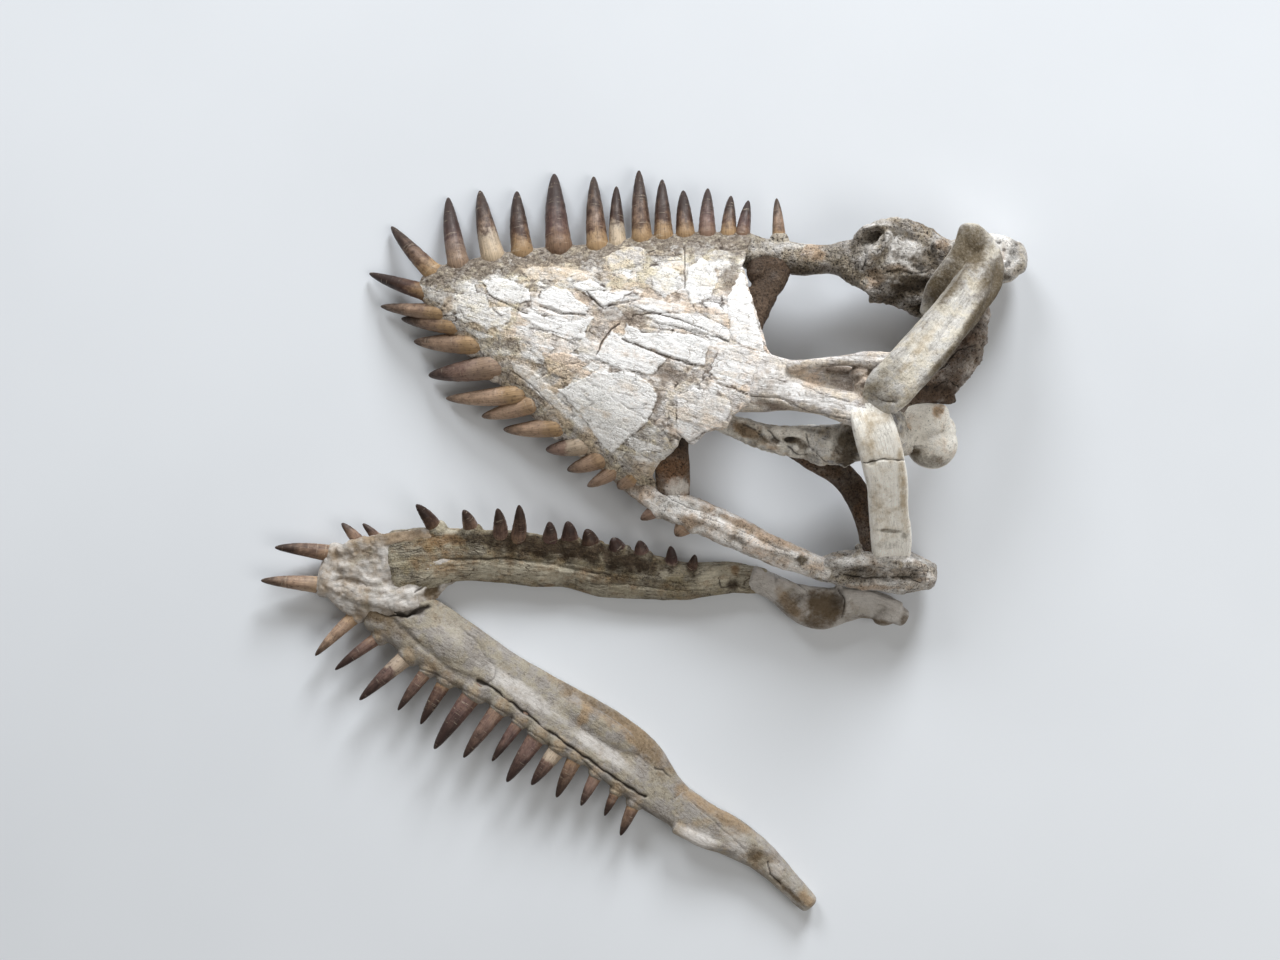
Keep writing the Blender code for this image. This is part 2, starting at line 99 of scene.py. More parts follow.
# The plate's broken rear edge on the sheet, the corners that close it behind, and the height
# at which it is seen there.
REAR_EDGE = (
    (757, 226), (743, 265), (751, 301), (766, 352), (778, 364), (784, 388), (762, 399),
    (749, 404), (731, 417), (725, 429), (707, 432), (694, 444), (686, 441), (681, 436),
    (677, 447), (668, 455), (659, 462), (653, 475), (657, 485), (652, 494), (640, 520),
)
REAR_FAR = ((760, 640), (1000, 640), (1000, 150), (800, 150))
REAR_HEIGHT = 60.0
# The ragged edge's step in units of the sheet and unevenness, and how far down and up it cuts.
REAR_STEP = 2.5
REAR_RAGGED = 1.6
REAR_SPAN = (-20.0, 140.0)
# How much of its height the ridge has above the rim, and how sharply it falls to the margins.
RIDGE_SHARE = 0.95
RIDGE_FALL = 2.5
SEAM_WIDTH = 0.9
SEAM_DEPTH = 0.35
# From where to where, inwards from the snout's margin, soil, stain and the left side's fade.
SOIL_MARGIN = (14, 26)
STAINED_MARGIN = (10, 26)
PALER_LEFT_MARGIN = (20, 36)
# The collars of the snout's teeth: how much lower and smaller they are.
SNOUT_SLEEVE_DROP = (0, 0, 4)
SNOUT_SLEEVE_SIZE = 0.9
# The snout's lumpiness, fibre and grit in mm, and its stain, darkness, paleness and tint.
SNOUT_WEATHER = (0.6, 0.12, 0.12)
SNOUT_MARKS = (0.05, 0, 0.45, 0.25)

# Bones as sections along a line: x, y, z of the middle, breadth, depth, and any roll in degrees.
PATHS = {
    "parietal_crest": (
        (74, 71, 69, 46, 18), (88, 69, 75, 42, 18), (105, 67, 79, 36, 14), (133, 64, 82, 37, 13),
        (154, 60, 87, 35, 13), (168, 56, 93, 27, 14),
    ),
    "squamosal_right": (
        (163, 55, 97, 20, 12), (168, 59, 101, 30, 16), (178, 69, 104, 33, 18, 4),
        (191, 83, 101, 32, 19, 8), (211, 105, 92, 31, 19, 10), (231, 128, 78, 31, 19, 10),
        (245, 150, 63, 30, 19, 6), (243, 170, 54, 23, 17), (240, 180, 50, 13, 12),
    ),
    "squamosal_left": (
        (156, 55, 94, 24, 13), (162, 39, 99, 29, 13), (168, 21, 95, 30, 13), (174, 0, 84, 29, 13),
        (177, -21, 70, 28, 13), (181, -42, 56, 29, 13), (183, -54, 42, 28, 12),
    ),
    "cheek_right": (
        (80, 167, 34, 26, 20), (88, 166, 34, 22, 19), (99, 165, 35, 21, 20), (117, 161, 36, 23, 20),
        (137, 161, 37, 21, 20), (151, 161, 38, 28, 24),
    ),
    "temporal_right": (
        (146, 161, 38, 24, 22), (156, 160, 38, 34, 27), (171, 159, 38, 48, 34),
        (193, 158, 38, 58, 40), (216, 152, 37, 54, 40), (234, 154, 34, 38, 38),
    ),
    "cheek_left": (
        (4, -9, 30, 18, 16), (20, -17, 33, 23, 19), (44, -27, 34, 25, 19), (73, -40, 36, 23, 20),
        (96, -51, 36, 21, 20), (117, -59, 36, 19, 19), (136, -66, 36, 16, 18),
    ),
    "quadrate_right": (
        (228, 156, 26, 38, 50), (246, 160, 24, 38, 50), (265, 162, 23, 35, 48),
        (277, 163, 24, 25, 34),
    ),
    "quadrate_left": (
        (129, -66, 35, 14, 18, 6), (150, -66, 28, 23, 30, 16), (174, -66, 22, 23, 48, 18),
        (197, -68, 21, 24, 48, 16), (212, -71, 25, 19, 34, 10),
    ),
    "postorbital_right": (
        (99, 164, 34, 29, 18), (93, 145, 42, 25, 16), (88, 126, 52, 14, 14), (80, 107, 62, 12, 12),
    ),
    "postorbital_left": (
        (23, 37, 52, 24, 14), (23, 18, 46, 25, 14), (24, 0, 38, 25, 14), (25, -14, 33, 23, 14),
    ),
    "braincase": (
        (57, 43, 60, 14, 16), (75, 36, 59, 17, 18), (97, 29, 57, 19, 20), (119, 27, 56, 25, 26),
        (144, 26, 58, 29, 42), (166, 32, 62, 32, 58), (186, 36, 54, 38, 31),
    ),
    "occipital_condyle": (
        (184, 38, 50, 28, 30), (196, 35, 50, 27, 30), (206, 31, 50, 26, 28),
    ),
    "pterygoid_left": (
        (105, 26, 50, 12, 16), (125, 16, 46, 17, 16), (144, 6, 42, 19, 15), (158, -10, 38, 19, 15),
        (166, -29, 35, 18, 15), (172, -55, 32, 18, 16),
    ),
    "pterygoid_right": (
        (173, 50, 60, 22, 26), (199, 62, 54, 26, 24), (221, 78, 48, 32, 22), (234, 98, 42, 33, 20),
        (240, 124, 36, 29, 22), (240, 144, 30, 26, 22),
    ),
    "symphysis": (
        (-233, -66, 10, 26, 15), (-222, -70, 11, 44, 19), (-205, -74, 11, 58, 21, 2),
        (-186, -73, 11, 64, 21, 4), (-168, -67, 11, 56, 20, 6), (-150, -60, 10, 42, 16, 8),
        (-134, -57, 10, 34, 14, 12),
    ),
    "dentary_right": (
        (-180, -62, 12, 50, 26, 6), (-159, -59, 12, 48, 24, 10), (-141, -56, 12, 41, 22, 14),
        (-122, -56, 12, 39, 20, 18), (-104, -58, 12, 38, 19, 20), (-78, -62, 11, 36, 18, 20),
        (-52, -62, 11, 38, 18, 20), (-30, -67, 11, 41, 18, 20), (0, -71, 11, 36, 18, 18),
        (30, -75, 10, 29, 18, 14), (69, -73, 9, 23, 18, 8), (91, -75, 9, 19, 18, 4),
    ),
    "articular_right": (
        (84, -73, 10, 19, 18, 4), (104, -82, 9, 20, 20), (119, -92, 9, 27, 22),
        (134, -96, 9, 31, 22), (150, -93, 9, 27, 22), (168, -92, 9, 22, 20), (184, -96, 9, 19, 18),
        (195, -102, 9, 14, 16),
    ),
    "dentary_left": (
        (-196, -96, 10, 34, 22, -6), (-171, -105, 11, 45, 22, -10), (-139, -126, 12, 48, 20, -16),
        (-104, -147, 12, 42, 19, -18), (-66, -170, 12, 44, 18, -18), (-28, -193, 12, 47, 18, -18),
        (-4, -212, 11, 47, 18, -16), (16, -233, 10, 36, 18, -10), (30, -244, 9, 30, 18, -6),
    ),
    "articular_left": (
        (26, -240, 10, 30, 18, -6), (46, -256, 9, 33, 20), (64, -264, 9, 30, 20),
        (92, -282, 8, 22, 19), (112, -302, 7, 17, 17), (125, -315, 7, 15, 15),
    ),
}
# Teeth: distance along the bone, base's distance inside its outer edge, length seen from above,
# lean towards the front in degrees, breadth of the base.
UPPER_RIGHT = (
    (1, 18, 47, 87, 12), (1, 2, 48, 59, 13), (18, 1, 52, 27, 15), (41, 1, 52, 29, 16),
    (61, 1, 47, 23, 15), (86, 1, 57, 21, 18), (113, 2, 54, 20, 15), (127, 3, 45, 18, 12),
    (143, 1, 53, 19, 14), (158, 1, 44, 18, 13), (173, 1, 34, 19, 13), (188, 1, 35, 15, 12),
    (203, 1, 29, 12, 11), (213, 1, 26, 6, 10),
)
UPPER_LEFT = (
    (12, 2, 43, 81, 10), (23, 3, 36, 82, 11), (40, 2, 40, 77, 13), (60, 2, 45, 67, 15),
    (83, 0, 50, 71, 12), (96, 3, 35, 60, 12), (118, 3, 36, 71, 12), (139, 2, 22, 66, 12),
    (157, 3, 23, 54, 12), (171, 4, 22, 43, 10), (184, 6, 12, 29, 13),
)
CHEEK_RIGHT_TEETH = ((20, -1, 31, 12, 10),)
CHEEK_LEFT_TEETH = ((13, 3, 14, 34, 11), (37, 4, 12, 20, 15))
SYMPHYSIS_RIGHT_TEETH = ((1, 2, 43, 103, 13), (22, 1, 20, 53, 10), (43, 2, 16, 38, 8))
SYMPHYSIS_LEFT_TEETH = ((1, 1, 45, 75, 13), (26, 0, 44, 36, 11))
LOWER_RIGHT_TEETH = (
    (31, 0, 22, 27, 12), (55, 0, 16, 19, 12), (75, 5, 24, 9, 13), (88, 5, 29, 1, 13),
    (112, 3, 17, 2, 13), (127, 2, 16, 10, 14), (143, 4, 14, 24, 15), (163, 4, 12, 30, 15),
    (181, 3, 12, 18, 13), (204, 6, 16, 5, 11), (218, 9, 15, -15, 10),
)
LOWER_LEFT_TEETH = (
    (10, 0, 39, 31, 10), (38, 0, 48, 18, 13), (57, 0, 36, 5, 10), (73, 0, 36, -2, 11),
    (95, 1, 49, 4, 15), (117, 2, 45, 5, 13), (135, 1, 35, 4, 10), (152, 0, 41, 3, 14),
    (170, 0, 33, 4, 13), (185, 2, 33, -7, 12), (206, 1, 26, -10, 10), (227, 0, 20, -17, 8),
    (244, 0, 25, -19, 10),
)
UPPER_DROP = -18.0
SYMPHYSIS_RISE = 8.0
RIGHT_RISE = 38.0
LEFT_RISE = 6.0
ROOT_DEPTH = 9.0
LOWEST_TIP = 0.6
CROWN = ((0.0, 1.0), (0.2, 0.93), (0.4, 0.83), (0.6, 0.7), (0.8, 0.5), (0.92, 0.33), (1.0, 0.2))
ROOT_SIZE = 0.84
# How far a tooth bends upwards by its length, how its crown's profile is smoothed and rounded
# off, and how much it swells within a few mm of the bone.
TOOTH_ARCH = 0.08
CROWN_BLUR = 0.96
TIP_BREADTH = 1.1
NECK_SWELL = 0.05
NECK_LENGTH = 4.0
# Unevenness along a tooth, its flutes, and the reach of chance in its darkness and grain.
TOOTH_WOBBLE = 0.012
FLUTES = 5
FLUTE_DEPTH = 0.014
DARK_CHANCE = 0.22
GRAIN_CHANCE = 90
# Where a tooth's rings are, as shares of its length.
CROWN_SHARES = np.r_[np.linspace(0, 0.9, 24), 0.94, 0.97, 0.985, 0.996]
# Upper roots, for right and left: how far back and up they are moved, and how much broader.
UPPER_ROOTS = {True: (1.5, 3.0, 1.1), False: (4.0, 5.0, 1.28)}
# The collar round a tooth: how far out each ring is in mm, and its size by the tooth's breadth.
COLLAR = ((-9, 0.6), (-3, 0.72), (1, 0.68), (3.2, 0.56), (4.0, 0.4))
# Chance starts from this for the first bone's teeth, and one higher for each next bone.
TEETH_SEED = 40
# How much of their chance warmth the teeth of the lower jaw keep.
LOWER_WARMTH = 0.4

# Ridges and side branches: place on the sheet, height, breadth, depth, and any roll in degrees.
RIDGES = {
    "parietal_crest": (
        ((790, 368, 88, 10, 8), (814, 364, 91, 8, 8), (840, 361, 94, 7, 8), (866, 360, 98, 12, 9),
         (893, 362, 101, 14, 9)),
        ((758, 379, 80, 28, 9), (776, 385, 84, 28, 10), (802, 396, 87, 21, 11),
         (830, 403, 91, 20, 11), (858, 411, 97, 24, 10), (874, 420, 100, 22, 9)),
        ((880, 372, 97, 18, 10), (884, 384, 97, 22, 10), (880, 400, 98, 22, 10)),
    ),
    "squamosal_right": (
        ((972, 232, 56, 20, 16), (967, 252, 60, 22, 16), (953, 274, 62, 23, 15),
         (938, 296, 57, 22, 14), (928, 312, 50, 13, 12)),
        ((988, 262, 65, 12, 14), (980, 288, 77, 14, 14), (962, 322, 91, 15, 14),
         (940, 352, 101, 15, 13), (916, 379, 105, 13, 12), (900, 396, 103, 10, 11)),
    ),
    "occipital_condyle": (
        ((893, 421, 52, 25, 32), (914, 420, 53, 25, 33), (930, 420, 53, 24, 32),
         (937, 420, 52, 23, 30)),
    ),
    "temporal_right": (
        ((856, 247, 46, 8, 12), (864, 233, 49, 8, 12), (878, 227, 52, 9, 12),
         (896, 225, 54, 11, 12), (914, 231, 54, 13, 12), (934, 243, 52, 13, 12)),
        ((888, 235, 55, 8, 10), (880, 247, 56, 9, 11), (869, 259, 54, 10, 11),
         (862, 268, 50, 9, 10)),
        ((866, 278, 48, 18, 10, -20), (878, 286, 47, 17, 10, -20), (890, 291, 44, 9, 8)),
        ((872, 297, 40, 8, 10), (896, 300, 40, 8, 10), (913, 309, 40, 9, 10), (925, 315, 40, 7, 8)),
    ),
    "pterygoid_right": (
        ((975, 331, 52, 13, 12), (972, 348, 52, 13, 12), (962, 364, 50, 11, 11),
         (953, 378, 48, 12, 10), (946, 393, 46, 12, 9)),
    ),
    "braincase": (
        ((764, 433, 64, 7, 6), (786, 432, 67, 9, 7), (808, 434, 70, 12, 8), (832, 436, 74, 14, 8)),
    ),
    "quadrate_left": (
        ((806, 570, 38, 7, 8), (826, 565, 41, 8, 8), (850, 561, 45, 10, 9), (880, 560, 47, 11, 9),
         (905, 563, 46, 11, 9), (924, 570, 42, 10, 9)),
        ((848, 578, 38, 5, 6), (880, 574, 42, 6, 6), (922, 583, 38, 6, 6)),
        ((860, 557, 44, 6, 7), (858, 546, 42, 4, 5)),
    ),
    "cheek_left": (
        ((618, 472, 22, 14, 12), (636, 484, 26, 19, 14), (655, 496, 29, 20, 15),
         (676, 508, 32, 19, 16)),
        ((664, 507, 38, 9, 7), (684, 514, 40, 9, 8), (712, 521, 43, 9, 8), (752, 542, 44, 8, 8),
         (798, 556, 44, 7, 8)),
    ),
    "symphysis": (
        ((322, 577, 17, 9, 6), (345, 590, 19, 13, 7), (378, 597, 21, 15, 7), (402, 601, 21, 15, 7),
         (416, 598, 20, 14, 7)),
        ((340, 551, 18, 9, 7), (362, 545, 19, 12, 8), (395, 541, 20, 13, 8), (430, 537, 20, 14, 8)),
        ((420, 566, 19, 12, 8), (440, 562, 19, 11, 7), (456, 560, 18, 9, 6)),
    ),
    "dentary_right": (
        ((450, 543, 19, 14, 9), (510, 540, 20, 15, 9), (570, 552, 19, 15, 9), (630, 564, 19, 14, 8),
         (672, 570, 17, 9, 7)),
    ),
    "articular_right": (
        ((838, 586, 17, 6, 7), (846, 600, 18, 7, 8), (842, 616, 16, 6, 7)),
        ((778, 582, 17, 7, 7), (800, 588, 18, 6, 7), (826, 592, 18, 7, 7), (862, 595, 18, 8, 7),
         (900, 607, 17, 8, 6)),
    ),
    "articular_left": (
        ((676, 828, 17, 9, 7), (700, 840, 17, 9, 7), (734, 848, 16, 8, 7)),
    ),
}
# Swellings: place on the sheet, height, half sizes in mm, turn in degrees.
SWELLINGS = {
    "temporal_right": (
        (905, 252, 50, 19, 13, 9, 28), (936, 256, 48, 9, 13, 9, 0), (925, 290, 44, 14, 10, 9, 40),
    ),
    "quadrate_right": ((997, 250, 34, 15, 11, 14, 0), (1002, 272, 30, 13, 8, 13, 0)),
    "squamosal_right": ((973, 244, 58, 10, 15, 11, -6),),
    "parietal_crest": ((866, 385, 92, 10, 8, 13, 0), (878, 402, 92, 13, 6, 12, 8),
                       (860, 374, 92, 8, 6, 11, 0)),
    "occipital_condyle": ((932, 444, 50, 18.6, 18.2, 17, 0), (926, 430, 50, 17, 14, 17, 0),
                          (938, 431, 50, 13, 13, 15.5, 0)),
    "cheek_left": ((690, 519, 34, 9, 6, 9, 15),
                   (725, 527, 38, 8, 6, 6, 0), (802, 558, 38, 7, 6, 8, 0)),
    "pterygoid_right": ((978, 338, 48, 8, 8, 9, 0), (938, 395, 46, 13, 6, 8, 15)),
    "braincase": (
        (778, 441, 62, 9, 7, 8, 20), (820, 448, 64, 13, 12, 10, 0), (845, 446, 66, 12, 15, 11, 0),
        (797, 448, 63, 6, 5, 6, 0), (806, 434, 68, 7, 6, 6, 0), (772, 432, 63, 7, 5, 6, 0),
    ),
    "quadrate_left": ((926, 579, 32, 8, 8, 10, 0),),
    "postorbital_right": ((757, 272, 44, 8, 9, 8, 0), (750, 300, 50, 7, 10, 7, 10),
                          (775, 268, 34, 10, 8, 9, 0)),
    "articular_right": ((812, 606, 16, 17, 13, 8, -20), (888, 614, 14, 12, 8, 7, -25)),
    "symphysis": ((352, 570, 18, 12, 7, 5, 20), (388, 566, 18, 13, 6, 5, -14),
                  (372, 582, 18, 15, 6, 5, 8)),
    "dentary_left": ((448, 648, 19, 26, 13, 7, 38), (600, 728, 17, 36, 11, 6, 32)),
}
# How square the sections are: 2 is round.
PLAIN_SQUARENESS = 2.5
SQUARENESS = {
    "squamosal_left": 4.5, "parietal_crest": 3.5, "occipital_condyle": 4.0,
    "squamosal_right": 5.0, "symphysis": 4.5, "dentary_left": 3.2, "quadrate_left": 3.6,
    "quadrate_right": 4.0,
}
PLAIN_RIDGE_SQUARENESS = 2.3
RIDGE_SQUARENESS = {"occipital_condyle": 4.0}
SNOUT_SQUARENESS = 3.2

# Steps along the shells in mm, and sides round them.
ROW_STEP = 2.5
GRAIN_STEP = 4.0
BONE_SIDES = 40
SNOUT_SIDES = 72
TOOTH_SIDES = 20
# The domes that end a bone: their rings, their length by the end's size, and how they round off.
DOME = np.radians((78, 60, 40, 20))
DOME_LENGTH = 0.62
DOME_FALL = 0.7
# A swelling's rings and sides, and how near the poles its rings go, in degrees.
SWELLING_RINGS = 13
SWELLING_SIDES = 24
SWELLING_END = 84

# The skin's voxels in mm, and how often and how much it is smoothed.
VOXEL = 0.8
RELAX_TIMES = 3
RELAX_SHARE = 0.6
# How far bones stay from the floor and the solids' box, and teeth from the box, in mm.
CLEARANCE = 0.1
TOOTH_CLEARANCE = 0.01

# Noise: its gradients' last number, its strength, and how much fainter each finer layer is.
LAST_DRAW = 255
NOISE_GAIN = 1.6
LAYER_FADE = 0.55
# More cells away than any nearest point, and how many points are looked at together.
FAR = 9.0
BATCH = 20000
# Sizes of the weathering in mm, the fibre's and the splinters' also across the grain.
WANDER = 5.0
LUMP = 15.0
SMALL_LUMP = 6.5
ROUGH_PATCH = 11.0
GRIT = 3.2
CRUMB = 2.6
CRAG = 9.0
PIT = 6.0
PITTED_PATCH = 19.0
FIBRE = (18.0, 2.6, 2.6)
BONE_SLIVER = (22.0, 4.2, 4.2)
PLATE_SLIVER = (17.0, 7.5, 30.0)
FINE_SLIVER = (30.0, 3.2, 9.0)
STAIN_CLOUD = 22.0
PALE_CLOUD = 17.0
TINT_CLOUD = 26.0
# Bones with more fibre than this splinter.
SPLINTERY = 0.25

# What the four numbers of a point's marks are. DARK holds dark cracks, seams and pits, and also
# painted shade.
STAIN, DARK, PALE, TINT = range(4)
# How steeply upwards a point faces to take its marks in full, and a crack's least width in mm.
FACING = 0.35
HAIRLINE = 0.35
# How far a spot is worked out and where its edge fades, by its size, and how ragged the edge is.
SPOT_LIMIT = 1.7
SPOT_EDGE = (0.35, 1.35)
RAGGED = 0.36
RAGGED_BY_SLOT = {"arch_bone": 0.12, "jaw_bone": 0.24}
# The warm spot at a socket: half sizes, turn, which mark it sets and to what.
SOCKET_SPOT = (9, 9, 0, TINT, 0.6)
# The roof's fragments: outline on the sheet, height in mm, paleness, tint.
FRAGMENTS = (
    (((484, 281), (502, 278), (529, 289), (530, 302), (510, 304), (488, 294)), 1.2, 0.85, 0.1),
    (((455, 297), (466, 291), (487, 294), (489, 307), (512, 307), (510, 322), (487, 330),
      (464, 317)), 0.7, 0.55, 0.15),
    (((540, 294), (553, 286), (568, 289), (573, 297), (589, 307), (586, 314), (563, 313),
      (540, 304)), 1.3, 0.95, 0.0),
    (((521, 316), (533, 313), (563, 322), (594, 317), (584, 332), (588, 342), (563, 337),
      (538, 328)), 1.2, 0.95, 0.0),
    (((573, 284), (589, 280), (607, 288), (602, 291), (622, 293), (633, 291), (604, 308),
      (591, 297), (576, 289)), 1.3, 0.95, 0.0),
    (((626, 323), (642, 332), (696, 335), (710, 342), (704, 365), (691, 363), (623, 340)),
     1.6, 1.0, 0.0),
    (((612, 330), (623, 340), (667, 359), (653, 374), (624, 371), (595, 358)), 1.3, 0.95, 0.05),
    (((647, 316), (670, 312), (706, 317), (730, 330), (729, 340), (693, 330), (655, 322)),
     1.3, 0.85, 0.1),
    (((630, 304), (645, 297), (686, 307), (681, 313), (653, 313)), 1.0, 0.7, 0.35),
    (((651, 275), (665, 268), (679, 271), (683, 286), (665, 298), (653, 289)), 1.0, 0.5, 0.1),
    (((688, 268), (701, 258), (714, 263), (718, 281), (709, 299), (691, 304), (686, 289)),
     1.3, 0.55, 0.0),
    (((727, 299), (742, 268), (747, 286), (757, 322), (766, 353), (732, 340), (729, 317)),
     1.1, 0.9, 0.1),
    (((710, 371), (719, 350), (739, 345), (765, 355), (774, 363), (739, 388), (719, 383)),
     1.0, 0.65, 0.3),
    (((558, 390), (594, 373), (630, 371), (650, 383), (658, 396), (647, 422), (630, 437),
      (612, 453), (596, 437), (581, 414)), 1.3, 0.8, 0.05),
    (((677, 396), (693, 388), (729, 399), (732, 409), (722, 428), (706, 431), (688, 442),
      (677, 432)), 1.2, 0.6, 0.3),
    (((515, 330), (538, 332), (553, 348), (543, 365), (522, 358)), 0.6, 0.5, 0.3),
    (((543, 353), (566, 353), (589, 363), (568, 378), (548, 373)), 0.9, 0.25, 0.9),
    (((512, 363), (533, 371), (563, 404), (568, 419), (543, 399), (515, 373)), 0.9, 0.6, 0.4),
    (((604, 258), (624, 246), (645, 248), (645, 263), (612, 271)), 0.9, 0.2, 0.35),
    (((520, 268), (560, 266), (585, 272), (560, 281), (530, 279)), 0.6, 0.5, 0.6),
)
